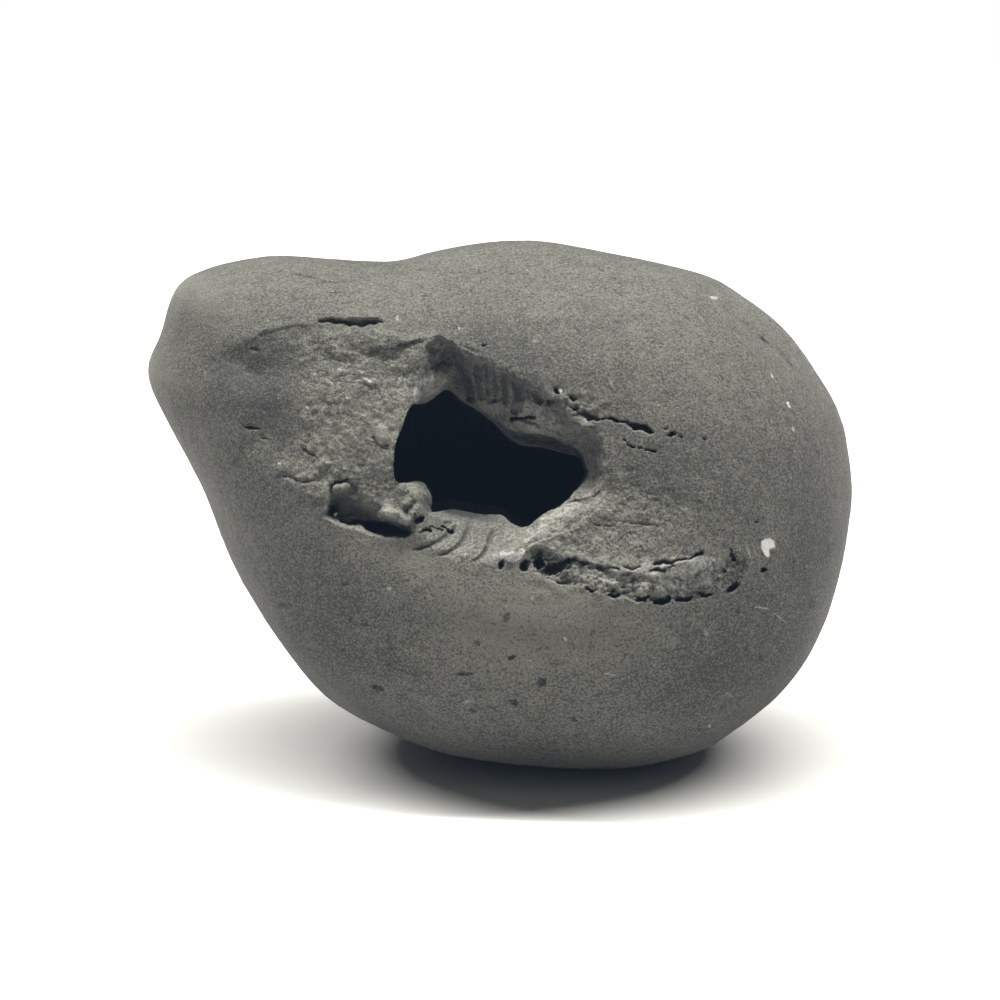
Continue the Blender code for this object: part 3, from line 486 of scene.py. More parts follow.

# Flecks and scratches: centre, half length, half width, the turn in degrees, and how pale (or dark).
# Some dark ones are painted shade: in small pits, and under the white chip.
FLECKS = [
    (23, 22.4, 0.45, 0.16, -8, 0.55),
    (29.2, 14, 0.12, 0.3, 10, 0.6),
    (31, 10.9, 0.16, 0.38, 30, 0.85),
    (31.5, 8.3, 0.16, 0.25, 10, 0.55),
    (6.5, 12.4, 0.16, 0.2, 40, 0.9),
    (-4.4, 19.1, 0.14, 0.16, 0, 0.7),
    (7, -14.2, 0.16, 0.22, 30, 0.55),
    (-14.4, 13.7, 0.3, 0.1, -20, 0.5),
    (-15.3, 13.5, 0.3, 0.1, 12, 0.5),
    (-16.6, 14.1, 0.7, 0.08, 0, 0.3),
    (-17.2, 14.7, 0.25, 0.2, 40, 0.35),
    (-13.9, 13.4, 0.25, 0.1, -30, 0.5),
    (-14.8, 14.4, 0.2, 0.12, 0, 0.45),
    (-19.9, 14.2, 0.2, 0.16, 0, 0.35),
    (-18.1, 13.3, 0.5, 0.1, -50, 0.25),
    (-10.8, 13.5, 0.3, 0.2, 60, 0.3),
    (-11.3, 11.8, 0.25, 0.1, 0, 0.4),
    (-20.7, 10.7, 0.2, 0.16, 0, 0.35),
    (-21, 9.7, 0.3, 0.12, 0, 0.3),
    (-11, 20.2, 0.14, 0.3, 0, 0.45),
    (-16.4, 11.7, 0.14, 0.14, 0, 0.6),
    (-23.7, 4.6, 0.2, 0.16, 0, 0.6),
    (-18.4, 4.7, 0.4, 0.14, 8, 0.45),
    (-16.7, 4.2, 0.22, 0.3, 0, 0.5),
    (26.7, -4.7, 0.07, 1.1, 15, 0.28),
    (11.8, -18, 0.7, 0.07, -8, 0.55),
    (28.2, -10.9, 0.9, 0.08, -10, 0.4),
    (30, -11.9, 0.8, 0.07, -38, 0.4),
    (24.6, -20.2, 0.5, 0.07, -35, 0.4),
    (22.5, -23.6, 0.16, 0.16, 0, 0.8),
    (-20.3, 24.6, 0.9, 0.08, -8, -0.55),
    (-18.6, 24.1, 1.1, 0.08, 0, -0.5),
    (-16.9, 24.1, 0.9, 0.07, 6, -0.5),
    (-18, 23, 1.4, 0.06, 0, -0.35),
    (-21.6, 24.9, 0.5, 0.16, 0, -0.4),
    (-13.2, -19.5, 0.8, 0.28, -14, -0.75),
    (-3.7, -18, 0.9, 0.2, 3, -0.75),
    (-9.4, -18, 2, 0.16, -18, -0.35),
    (-11.9, -17, 0.6, 0.14, 0, -0.5),
    (4.5, -18.9, 0.5, 0.42, 0, -0.8),
    (4.9, -18.6, 0.3, 0.16, 40, -0.6),
    (1.5, -21.1, 0.55, 0.35, -30, -0.75),
    (1.3, -16.2, 0.5, 0.22, 25, -0.85),
    (0.7, -11.9, 0.4, 0.6, -25, -0.5),
    (-2.5, -14.6, 0.45, 0.22, -40, -0.6),
    (-16, -12.1, 0.4, 0.2, 0, -0.4),
    (-14.5, -12.7, 0.6, 0.18, -10, -0.4),
    (-10, -8, 0.4, 0.2, 20, -0.4),
    (25.5, -11.2, 0.25, 0.3, 0, -0.5),
    (2.7, 9.55, 1.45, 0.08, 5, -0.85),
    (28.15, -5.1, 0.22, 0.1, -60, -0.8),
    (28.85, -4, 0.72, 0.54, -18, 1.3),
    (28.5, -4.6, 0.84, 0.36, -66, 1.3),
    (-11.9, -8.8, 0.2, 0.2, 0, 0.45),
    (3.5, -9.9, 0.16, 0.28, 10, 0.35),
    (22.2, -13.7, 0.3, 0.2, 0, 0.25),
    (3.4, -17.2, 0.2, 0.2, 0, 0.25),
    (-3.5, -21, 0.6, 0.2, 10, 0.2),
    (13.9, -18.7, 0.08, 0.5, 0, 0.25),
    (33.8, -10.2, 0.1, 0.5, 0, -0.35),
    (7.9, -22.9, 0.4, 0.25, -30, -0.55),
    (-2.8, -21.9, 0.5, 0.16, -20, -0.45),
    (-5.2, -20.4, 0.4, 0.16, 0, -0.4),
    (-16.8, -15.4, 0.5, 0.2, 10, -0.4),
    (-23.4, -10.6, 0.5, 0.25, 0, -0.4),
    (-16.6, -8.4, 0.6, 0.2, 0, -0.35),
    (-12, -15.3, 0.7, 0.2, 5, -0.4),
    (10, -13.6, 0.5, 0.3, 40, -0.3),
    (17.6, -15.4, 0.3, 0.3, 0, -0.3),
    (21.4, -24, 1.4, 0.1, 2, -0.25),
    (28, -16.2, 0.25, 0.5, 10, -0.5),
    (26.4, -15.2, 0.2, 0.3, 0, -0.4),
    (8.4, -24.6, 0.5, 0.2, 0, -0.4),
    (13.8, -18.6, 0.35, 0.3, 0, -0.3),
    (31.6, -6.2, 0.25, 0.6, -15, -0.4),
    (33.4, -10.4, 0.3, 0.6, 0, -0.4),
    (-8.2, 22.5, 0.25, 0.2, 0, -0.4),
    (-7.4, 20.5, 0.2, 0.16, 0, -0.35),
    (19.8, 20.4, 0.8, 0.12, -28, -0.3),
    (16, 18.8, 0.5, 0.12, 0, -0.25),
    (26.4, 19.7, 0.45, 0.12, -42, -0.4),
    (25.2, 18.2, 0.6, 0.08, -45, -0.25),
    (28.4, 17.8, 0.9, 0.12, -45, -0.4),
    (31.2, 15.2, 0.9, 0.12, -47, -0.4),
    (19.6, 22.6, 0.8, 0.08, -28, -0.35),
    (34.2, 5.7, 0.2, 0.4, 20, -0.35),
    (-26.5, 8.4, 0.9, 0.18, -5, -0.5),
    (-20.4, 5.8, 0.8, 0.25, -28, -0.3),
    (-23, 17.2, 1, 0.1, -8, -0.2),
    (-15.6, 19.7, 2.6, 0.3, 0, -0.35),
    (-12.2, 17, 1, 0.3, -8, -0.45),
    (-9.8, 17.6, 1.6, 0.2, 15, -0.4),
    (-26, 16.9, 0.7, 0.16, -15, -0.3),
    (12, 13.2, 0.16, 0.5, 30, 0.2),
    (-2.2, -12.2, 1.6, 0.06, 12, 0.16),
    (24.7, -2.4, 1, 0.06, 25, 0.16),
    (21.6, 1.5, 1.4, 0.07, 3, 0.14),
    (12.3, -12.6, 0.7, 0.07, 60, 0.16),
    (14.6, -12.4, 0.5, 0.12, 20, 0.16),
    (22, -13.4, 0.3, 0.14, -30, 0.16),
]

# --- The grain: the size and height of lumps on the broken ground and on the worn skin ---

RAGGEDNESS = 1.3  # how unevenly wide the cracks are
RAGGED_SIZE = 0.9
THINNEST = 0.25  # as a share of the crack's width
WANDER = [(1.3, 0.15), (0.45, 0.08)]  # how the edges of the broken ground wander
BROKEN_LUMPS = [(2.6, 0.16), (0.8, 0.12)]
BROKEN_GRAINS = (0.5, 0.12)
# Crumbled ground: middle, reach along and across, the turn in degrees, and how crumbled.
RUBBLE = [
    (7, 9.8, 4.2, 2.4, 0, 1),
    (14.5, -8.3, 9, 1.1, 3, 0.7),
    (5, -6, 2.6, 1.2, -10, 0.7),
    (-12, -1, 2.4, 1.4, -10, 0.6),
]
RUBBLE_LUMPS = (1.0, 0.45)
SKIN_LUMPS = [(2.2, 0.04), (0.8, 0.03)]
SKIN_STRETCH = (0.5, 1.0, 1.0)  # they run along the stone

# --- How gritty and how pale each kind of broken ground is, and how softly it begins ---

GROUND_WOBBLE = (1.6, 0.5)  # the size and reach of the unevenness of its edges
MATRIX_SOFTNESS, MATRIX_GRIT, MATRIX_PALE = (-0.3, 0.5), 0.8, 0.8
SHELF_SOFTNESS, SHELF_GRIT, SHELF_PALE = (-0.5, 1.5), 0.8, 0.6
SHELF_LOOK_FADE = (25.0, 14.0)
FRILL_SOFTNESS, FRILL_GRIT, FRILL_PALE = (0.2, -0.3), 2.0, 0.7  # the start is past the band's half width
NOTCH_SOFTNESS, NOTCH_GRIT = (-0.1, 0.3), 0.7  # inside the rim
LIP_HEIGHTS = (4.0, 1.0)  # the lip is pale below these heights, and the wall above them isn't
WORN_LIP_PLACES = (3.5, 1.0)  # and to the left of these places it is worn smooth
WORN_SMOOTHER = 0.55


def smooth_step(x, start, end):
    t = np.clip((x - start) / (end - start), 0.0, 1.0)
    return t * t * (3.0 - 2.0 * t)


def closed_curve(points, steps):
    """Points on a smooth closed curve through the given ones (Catmull-Rom)."""
    p1 = np.array(points)
    p0, p2, p3 = np.roll(p1, 1, 0), np.roll(p1, -1, 0), np.roll(p1, -2, 0)
    rows = []
    for t in np.arange(steps) / steps:
        pull = (p2 - p0) * t + (2 * p0 - 5 * p1 + 4 * p2 - p3) * t**2 + (3 * p1 - 3 * p2 + p3 - p0) * t**3
        rows.append(p1 + 0.5 * pull)
    return np.stack(rows, 1).reshape(-1, 2)


def beside(a, b, line):
    """Distance to an open line, positive on its right-hand side, and the way along it to its nearer end."""
    nearest = np.full(a.shape, np.inf)
    side, way = np.zeros(a.shape), np.zeros(a.shape)
    gone = 0.0
    for start, end in zip(line, line[1:]):
        run, rise = end[0] - start[0], end[1] - start[1]
        length = math.hypot(run, rise)
        along = np.clip(((a - start[0]) * run + (b - start[1]) * rise) / length**2, 0.0, 1.0)
        off = np.hypot(a - start[0] - along * run, b - start[1] - along * rise)
        nearer = off < nearest
        nearest = np.where(nearer, off, nearest)
        side = np.where(nearer, np.sign((a - start[0]) * rise - (b - start[1]) * run), side)
        way = np.where(nearer, gone + along * length, way)
        gone += length
    return nearest * side, np.minimum(way, gone - way)


def to_line(a, b, line):
    """Distance to an open line of straight stretches."""
    return np.abs(beside(a, b, line)[0])


def inside_by(a, b, outline):
    """Distance to a closed outline, positive inside it and negative outside."""
    inside = np.zeros(a.shape, bool)
    for start, end in zip(outline, outline[1:] + outline[:1]):
        crosses = (start[1] > b) != (end[1] > b)
        rise = end[1] - start[1] or 1.0
        inside ^= crosses & (a < start[0] + (b - start[1]) * (end[0] - start[0]) / rise)
    nearest = to_line(a, b, outline + outline[:1])
    return np.where(inside, nearest, -nearest)


def lumpiness(points, size, octaves=2, shift=0.0, basis="PERLIN_ORIGINAL"):
    """Smooth noise between about -1 and 1, with lumps of the given size; each shift gives other lumps."""
    place = Vector((shift, shift, shift))
    return np.array([
        noise.fractal(Vector(p) / size + place, 1.0, 2.0, octaves, noise_basis=basis) for p in points
    ])  # fmt: skip


def flat(a, b):
    """Points of the layout in space, for noise."""
    return np.column_stack([a, b, np.zeros(len(a))])


def laid_out(points):
    """Where points lie on the outline's plane, as seen from the eye."""
    a, b, c = points.T
    nearer = EYE_DISTANCE / (EYE_DISTANCE + c)
    return a * nearer, EYE_HEIGHT + (b - EYE_HEIGHT) * nearer


def sunk(points, depth):
    """Points moved into the stone along their lines of sight."""
    a, b, c = points.T
    far = EYE_DISTANCE + c
    return points + depth[:, None] * np.stack([a / far, (b - EYE_HEIGHT) / far, np.ones(len(a))], 1)


def at_depth(layout, c):
    """Points of the layout, put back at a depth."""
    farther = (EYE_DISTANCE + c) / EYE_DISTANCE
    a, b = layout[:, 0] * farther, EYE_HEIGHT + (layout[:, 1] - EYE_HEIGHT) * farther
    return np.column_stack([a, b, np.full(len(layout), c)])


def outline_reach():
    """The outline's distance from the body's middle at each degree round it, as it is and evened out."""
    curve = closed_curve(OUTLINE, 6) - BODY_CENTRE
    angle = np.degrees(np.arctan2(curve[:, 1], curve[:, 0]))
    order = np.argsort(angle)
    degrees = np.arange(-180, 180)
    reach = np.interp(degrees, angle[order], np.hypot(curve[:, 0], curve[:, 1])[order], period=360)
    window = np.hanning(EVENING)
    evened = np.convolve(np.tile(reach, 3), window / window.sum(), "same")[360:720]
    return degrees, reach, evened


def pebble(directions):
    """The worn pebble's surface, before it broke, in the given directions from its middle."""
    degrees, reach, evened = outline_reach()
    side_on = np.hypot(directions[:, 0], directions[:, 1])
    facing = np.degrees(np.arctan2(directions[:, 1], directions[:, 0]))
    sharp = np.interp(facing, degrees, reach, period=360)
    soft = np.interp(facing, degrees, evened, period=360)
    across = side_on / (soft + (sharp - soft) * side_on**BEND_FADE)
    deep = np.abs(directions[:, 2]) / HALF_DEPTH
    radius = (across**FULLNESS + deep**FULLNESS) ** (-1.0 / FULLNESS)
    worn = lumpiness(directions * radius[:, None], LUMP_SIZE)
    radius += LUMP_HEIGHT * worn * smooth_step(deep * radius, *LUMP_FADE)
    return directions * radius[:, None] + np.array([*BODY_CENTRE, 0.0])


def fall_to_hole(a, b):
    """The ground round the hole falls from the rim: as a steep wall above, and as a rounded lip below."""
    below_rim = np.maximum(inside_by(a, b, RIM), 0.0)
    from_mouth = np.maximum(-inside_by(a, b, MOUTH), 0.0)
    share = below_rim / (below_rim + from_mouth + 1e-6)
    upper = smooth_step(b, *WALL_HEIGHTS)
    shelf = smooth_step(a, *SHELF_START) * smooth_step(b - SHELF_SLOPE * a, *SHELF_TOP)
    lip = LIP_DEPTH + (SHELF_DEPTH - LIP_DEPTH) * shelf
    curve = LIP_CURVE - WALL_EARLIER * upper - SHELF_EARLIER * shelf
    depth = (lip + (TOP_WALL_DEPTH - lip) * upper) * share**curve
    depth += VALLEY_DEPTH * smooth_step(to_line(a, b, VALLEY), VALLEY_REACH, 0.0)
    return depth * smooth_step(below_rim, RIM_LEDGE, RIM_LEDGE + RIM_ROUNDING)


def dip(a, b):
    return DIP_DEPTH * smooth_step(inside_by(a, b, MOUTH), -DIP_REACH, 0.0)


def recess(a, b):
    """The shallow bowl to the left of the hole, in which the bare matrix stands a little higher."""
    bowl = RECESS_DEPTH * smooth_step(inside_by(a, b, RECESS), 0.0, RECESS_BOWL)
    matrix = MATRIX_HEIGHT * smooth_step(inside_by(a, b, MATRIX), *MATRIX_EDGE)
    return (bowl - matrix) * smooth_step(a, *RECESS_FADE)


def pit(a, b):
    lowest = smooth_step(to_line(a, b, LOWER_RIM), *PIT_SLOPE)
    depth = PIT_TOP_DEPTH + (PIT_DEPTH - PIT_TOP_DEPTH) * lowest
    return depth * smooth_step(inside_by(a, b, PIT), *PIT_EDGE)


def plate(a, b):
    shallow = PLATE_DEPTH * smooth_step(inside_by(a, b, PLATE), *PLATE_EDGE) * smooth_step(a, *PLATE_FADE)
    band = smooth_step(to_line(a, b, BAND), BAND_HALF_WIDTH, BAND_HALF_WIDTH - BAND_EDGE)
    return np.maximum(shallow, BAND_DEPTH * band)


def oval(a, b, across, up, half_length, half_width, turn):
    """Distance from an oval's middle, as a share of its reach."""
    cos, sin = math.cos(math.radians(turn)), math.sin(math.radians(turn))
    along = ((a - across) * cos + (b - up) * sin) / half_length
    aside = ((b - up) * cos - (a - across) * sin) / half_width
    return np.hypot(along, aside)


def soft_spots(a, b, spots):
    """The sum of soft oval spots, each of its own strength."""
    total = np.zeros(a.shape)
    for across, up, along, aside, turn, strength in spots:
        total += strength * np.exp(-oval(a, b, across, up, along, aside, turn) ** 2)
    return total


def clefts(a, b):
    """Slits, holes, cracks and the crescents under the frills: the deepest one counts."""
    depth = np.zeros(a.shape)
    ragged = 1.0 + RAGGEDNESS * lumpiness(flat(a, b), RAGGED_SIZE, shift=6.1)
    ragged = np.maximum(ragged, THINNEST)
    for outline, deep, edge in SUNK:
        depth = np.maximum(depth, deep * smooth_step(inside_by(a, b, outline), SUNK_START, edge))
    for across, up, half_length, half_width, deep, turn in HOLES:
        off = oval(a, b, across, up, half_length, half_width, turn)
        depth = np.maximum(depth, deep * smooth_step(off, *HOLE_EDGE))
    spread, bottom = CRACK_EDGE
    for line, half_width, deep in CRACKS:
        off = to_line(a, b, line) / ragged
        depth = np.maximum(depth, deep * smooth_step(off, half_width * spread, bottom))
    start, full = FRILL_UNDERSIDE
    for across, up, radius in FRILLS:
        off = np.abs(np.hypot(a - across, (b - up) * FRILL_FLATNESS) - radius)
        under = smooth_step(up - b, start * radius, full * radius)
        depth = np.maximum(depth, FRILL_DEPTH * under * smooth_step(off, FRILL_HALF_WIDTH, FRILL_EDGE))
    return depth


def knobs(a, b):
    height = np.zeros(a.shape)
    for across, up, half_length, half_width, tall, turn in KNOBS:
        off = oval(a, b, across, up, half_length, half_width, turn)
        height = np.maximum(height, tall * np.clip(1.0 - off**2, 0.0, 1.0) ** KNOB_FULLNESS)
    for across, up, radius in FRILLS:
        off = np.hypot(a - across, b - up - LOBE_RAISE) / radius
        height = np.maximum(height, LOBE_HEIGHT * np.sqrt(np.clip(1.0 - off**2, 0.0, 1.0)))
    return height


def ledges(a, b):
    depth = np.zeros(a.shape)
    for line, drop, width, reach in LEDGES:
        off, way = beside(a, b, line)
        fallen = np.clip(off / width, 0.0, 1.0)
        step = fallen * (2.0 - fallen) * smooth_step(off, reach, width)
        depth += drop * step * smooth_step(way, 0.0, LEDGE_FADE * (1.0 + reach))
    return depth


def between(first, second, share):
    """A line part of the way from one line to another."""
    steps = np.linspace(0.0, 1.0, RIB_POINTS)
    lines = [
        [np.interp(steps, np.linspace(0.0, 1.0, len(line)), np.array(line)[:, i]) for i in (0, 1)]
        for line in (first, second)
    ]
    mixed = np.array(lines[0]) * (1.0 - share) + np.array(lines[1]) * share
    return [tuple(point) for point in mixed.T]


def shell_grooves(a, b):
    """The depth of the grooves between the shell's ribs, on the wall above the hole and the lip below."""
    on_wall = smooth_step(inside_by(a, b, RIM), *WALL_START)
    depth = np.zeros(a.shape)
    for line, half_width, deep in WALL_GROOVES:
        depth = np.maximum(depth, deep * on_wall * smooth_step(to_line(a, b, line), half_width, 0.0))
    for line in LIP_GROOVES:
        off, way = beside(a, b, line)
        groove = LIP_GROOVE_DEPTH * smooth_step(np.abs(off), LIP_GROOVE_HALF_WIDTH, 0.0)
        depth = np.maximum(depth, groove * smooth_step(way, 0.0, LIP_GROOVE_FADE))
    return depth


def ribs(a, b):
    """The shell's ribs stand a little higher between the lip's grooves, with finer grooves beside them."""
    depth = shell_grooves(a, b)
    for first, second in zip(LIP_GROOVES, LIP_GROOVES[1:]):
        off, way = beside(a, b, between(first, second, 0.5))
        fade = smooth_step(way, 0.0, LIP_GROOVE_FADE)
        depth -= LIP_RIB_HEIGHT * smooth_step(np.abs(off), LIP_RIB_HALF_WIDTH, 0.0) * fade
        for share in FINE_GROOVE_PLACES:
            off, way = beside(a, b, between(first, second, share))
            fade = smooth_step(way, 0.0, FINE_GROOVE_FADE)
            depth += FINE_GROOVE_DEPTH * smooth_step(np.abs(off), LIP_GROOVE_HALF_WIDTH, 0.0) * fade
    return depth


def wandered(a, b):
    """The layout's coordinates, shifted by small lumps of noise, so that the edges break unevenly."""
    places = flat(a, b)
    for size, reach in WANDER:
        a = a + reach * lumpiness(places, size, shift=3.1)
        b = b + reach * lumpiness(places, size, shift=7.7)
    return a, b


def relief(a, b):
    """How far the broken face lies below the pebble's skin."""
    a, b = wandered(a, b)
    sunk_ground = dip(a, b) + fall_to_hole(a, b) + recess(a, b) + pit(a, b) + plate(a, b) + ledges(a, b)
    return sunk_ground + clefts(a, b) - knobs(a, b) + ribs(a, b)


def to_world(points):
    """From the face frame in millimetres to the world in metres."""
    a, b, c = points.T
    y = b * LEAN_SIN + c * LEAN_COS + SPOT_FORWARD
    z = b * LEAN_COS - c * LEAN_SIN + CENTRE_HEIGHT
    return np.stack([a - SPOT_CENTRE, y, z], 1) * MM


def to_face(points):
    """From the world in metres to the face frame in millimetres."""
    x, y, z = points.T / MM
    y, z = y - SPOT_FORWARD, z - CENTRE_HEIGHT
    return np.stack([x + SPOT_CENTRE, y * LEAN_SIN + z * LEAN_COS, y * LEAN_COS - z * LEAN_SIN], 1)


def coordinates(mesh):
    values = np.empty(len(mesh.vertices) * 3, np.float32)
    mesh.vertices.foreach_get("co", values)
    return values.reshape(-1, 3).astype(float)


def move_to(mesh, points):
    mesh.vertices.foreach_set("co", points.astype(np.float32).ravel())
    mesh.update()


def normals(mesh):
    return np.array([normal.vector for normal in mesh.vertex_normals])


def mesh_from(bm, name):
    mesh = bpy.data.meshes.new(name)
    bm.to_mesh(mesh)
    bm.free()
    return mesh


def add_object(name, mesh):
    thing = bpy.data.objects.new(name, mesh)
    bpy.context.scene.collection.objects.link(thing)
    return thing


def divided_sphere():
    """A sphere whose faces are small where the ground is broken, and larger on the plain sides and back."""
    bm = bmesh.new()
    bmesh.ops.create_icosphere(bm, subdivisions=SPHERE_LEVEL, radius=1.0)
    directions = np.array([v.co.normalized() for v in bm.verts])
    points = pebble(directions)
    c = points[:, 2]
    fine = (inside_by(*laid_out(points), FINE_GROUND) > 0.0) & (c < 0.0)
    front = (c < FRONT_DEPTH) & ~fine
    for chosen, cuts in ((fine, FINE_CUTS), (front, FRONT_CUTS)):
        edges = [e for e in bm.edges if all(v.index < len(chosen) and chosen[v.index] for v in e.verts)]
        bmesh.ops.subdivide_edges(bm, edges=edges, cuts=cuts, use_grid_fill=True)
        bm.verts.index_update()
    bmesh.ops.triangulate(bm, faces=bm.faces[:])
    return mesh_from(bm, "stone")


def hollow_cutter():
    """The hollow of the shell: the hole's outline, spread and then drawn together into the stone."""
    outside, inside = closed_curve(MOUTH, 12), closed_curve(MOUTH_INSIDE, 12)
    chosen = np.linspace(0, len(outside), RING_POINTS, endpoint=False).astype(int)
    depths, spreads = np.array(HOLLOW_RINGS).T
    bm = bmesh.new()
    rings = []
    for depth in [depths[0], *np.linspace(TURNED_IN[0], depths[-1], RINGS)]:
        turned = smooth_step(depth, *TURNED_IN)
        curve = outside[chosen] * (1.0 - turned) + inside[chosen] * turned
        ring = (curve - HOLLOW_MIDDLE) * np.interp(depth, depths, spreads) + HOLLOW_MIDDLE
        rings.append([bm.verts.new(point) for point in to_world(at_depth(ring, depth))])
    for outer, inner in zip(rings, rings[1:]):
        for i in range(RING_POINTS):
            bm.faces.new((outer[i - 1], outer[i], inner[i], inner[i - 1]))
    bm.faces.new(rings[0])
    bm.faces.new(rings[-1])
    for face in bm.faces:
        face.material_index = 1
    bmesh.ops.recalc_face_normals(bm, faces=bm.faces[:])
    return add_object("hollow_cutter", mesh_from(bm, "hollow_cutter"))


def cut_hollow(stone):
    """Cut the hollow out, and note which points of the stone are on its wall and on the hole's edge."""
    cutter = hollow_cutter()
    for thing in (stone, cutter):
        for _ in range(2):
            thing.data.materials.append(None)
    cut = stone.modifiers.new("hollow", "BOOLEAN")
    cut.operation = "DIFFERENCE"
    cut.solver = "EXACT"
    cut.object = cutter
    shaped = bpy.data.meshes.new_from_object(stone.evaluated_get(bpy.context.evaluated_depsgraph_get()))
    stone.modifiers.clear()
    stone.data = shaped
    bpy.data.objects.remove(cutter, do_unlink=True)
    inner, outer = np.zeros(len(shaped.vertices), bool), np.zeros(len(shaped.vertices), bool)
    for face in shaped.polygons:
        (inner if face.material_index == 1 else outer)[list(face.vertices)] = True
        face.material_index = 0
    shaped.materials.clear()
    return inner, inner & outer


def way_in(points, inner, edge):
    """How far points on the hollow's wall are from the hole's edge, in millimetres; 0 elsewhere."""
    tree = KDTree(int(edge.sum()))
    for index, point in enumerate(points[edge]):
        tree.insert(point, index)
    tree.balance()
    far = np.zeros(len(points))
    far[inner] = [tree.find(point)[2] for point in points[inner]]
    return far


def grounds(points):
    """How gritty and how pale the ground is at points: 0 on the worn skin, and more where it is broken."""
    a, b = laid_out(points)
    size, reach = GROUND_WOBBLE
    wobble = reach * lumpiness(flat(a, b), size, 3, shift=5.3)
    matrix = smooth_step(inside_by(a, b, MATRIX) + wobble, *MATRIX_SOFTNESS)
    shelf = smooth_step(inside_by(a, b, PLATE) + wobble, *SHELF_SOFTNESS) * smooth_step(a, *SHELF_LOOK_FADE)
    outer, inner = FRILL_SOFTNESS
    frill = smooth_step(to_line(a, b, BAND) + wobble, BAND_HALF_WIDTH + outer, BAND_HALF_WIDTH + inner)
    notch = smooth_step(inside_by(a, b, RIM) + wobble, *NOTCH_SOFTNESS)
    lip = notch * smooth_step(b, *LIP_HEIGHTS)
    worn_lip = lip * smooth_step(a, *WORN_LIP_PLACES)
    off_wall = 1.0 - notch * smooth_step(b, *reversed(LIP_HEIGHTS))
    facing = smooth_step(points[:, 2], *FACE_FADE)
    notch_grit = NOTCH_GRIT * notch - WORN_SMOOTHER * worn_lip
    rough = np.max([MATRIX_GRIT * matrix, SHELF_GRIT * shelf, FRILL_GRIT * frill, notch_grit], axis=0)
    pale = np.max([MATRIX_PALE * matrix * off_wall, SHELF_PALE * shelf, FRILL_PALE * frill, lip], axis=0)
    return rough * facing, pale * facing


def grain(points, broken):
    """Lumps and grains of the surface, as a height."""
    height = np.zeros(len(points))
    for size, tall in BROKEN_LUMPS:
        height += tall * broken * lumpiness(points, size, shift=1.7)
    for size, tall in SKIN_LUMPS:
        height += tall * (1.0 - broken) * lumpiness(points * SKIN_STRETCH, size, shift=8.2)
    size, tall = RUBBLE_LUMPS
    crumbled = soft_spots(*laid_out(points), RUBBLE) * (points[:, 2] < 0.0)
    height += tall * crumbled * lumpiness(points, size, 3, shift=4.6)
    size, tall = BROKEN_GRAINS
    crackle = lumpiness(points, size, 1, shift=2.9, basis="VORONOI_F2F1")
    return height + tall * broken * crackle


def whiteness_and_painted_highlights(a, b):
    """The white patches and the painted highlights along edges, from 0 to 1."""
    patches = [white * smooth_step(inside_by(a, b, outline), *WHITE_EDGE) for outline, white in WHITE]
    edges = [white * smooth_step(to_line(a, b, line), width, 0.0) for line, width, white in PAINTED_HIGHLIGHT_EDGES]
    return np.max(patches + edges, axis=0)


def hollowness(mesh, rounds):
    """How many millimetres each point lies below the smoothed surface: below 0 on edges."""
    ends = np.empty(len(mesh.edges) * 2, np.int32)
    mesh.edges.foreach_get("vertices", ends)
    first, second = ends.reshape(-1, 2).T
    points = coordinates(mesh)
    count = len(points)
    near = np.bincount(np.concatenate([first, second]), minlength=count)[:, None]
    smoothed = points.copy()
    for _ in range(rounds):
        total = np.stack([
            np.bincount(first, axis[second], count) + np.bincount(second, axis[first], count)
            for axis in smoothed.T
        ], 1)  # fmt: skip
        smoothed = 0.5 * smoothed + 0.5 * total / near
    return ((smoothed - points) * normals(mesh)).sum(1) / MM


def store(mesh, name, values):
    layer = mesh.attributes.new(name, "FLOAT", "POINT")
    layer.data.foreach_set("value", np.ascontiguousarray(values, np.float32))


def shaped_stone():
    """The pebble with its broken ground and its hollow, before the grain."""
    mesh = divided_sphere()
    directions = coordinates(mesh)
    points = pebble(directions / np.linalg.norm(directions, axis=1)[:, None])
    near = points[:, 2] < 0.0
    front = points[near]
    points[near] = sunk(front, relief(*laid_out(front)) * smooth_step(front[:, 2], *FACE_FADE))
    move_to(mesh, to_world(points))
    stone = add_object("shaligram", mesh)
    return stone, *cut_hollow(stone)


def mark(mesh, points, inner, edge):
    """Note on the mesh where its looks change."""
    a, b = laid_out(points)
    facing = smooth_step(points[:, 2], *MARK_FADE)
    # Painted shade: on the hollow's wall, darker further in from the hole's edge, and in spots near the hole.
    deep = smooth_step(way_in(points, inner, edge), *PAINTED_SHADE_REACH)
    store(mesh, "painted_shade", np.maximum(deep, soft_spots(a, b, PAINTED_SHADE_SPOTS) * facing))
    # The shell's grooves, which the material paints darker as shade.
    store(mesh, "groove", shell_grooves(a, b) * facing)
    # White patches, and painted highlights along edges that catch the light.
    store(mesh, "white", whiteness_and_painted_highlights(a, b) * facing)
    # Stains, with painted light and painted shade among them.
    store(mesh, "stain_and_painted_light", soft_spots(a, b, STAINS_AND_PAINTED_LIGHT) * facing)
    # How sunk each point is below the smoothed surface, from which the material paints shade in crevices and
    # highlight on edges.
    store(mesh, "hollow", hollowness(mesh, SMOOTHING_ROUNDS))


def make_stone():
    stone, inner, edge = shaped_stone()
    mesh = stone.data
    points = to_face(coordinates(mesh))
    rough, pale = grounds(points)
    rough = np.where(inner & ~edge, HOLLOW_ROUGHNESS, rough)
    places = to_world(points) + normals(mesh) * (grain(points, rough) * MM)[:, None]
    places[:, 2] = np.maximum(places[:, 2], 0.0)
    move_to(mesh, places)
    store(mesh, "pale", pale)
    store(mesh, "grit", rough)
    mark(mesh, points, inner, edge)
    mesh.shade_smooth()
    return stone


stone = make_stone()
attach(stone, "root")
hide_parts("stone")

# --- Material ---


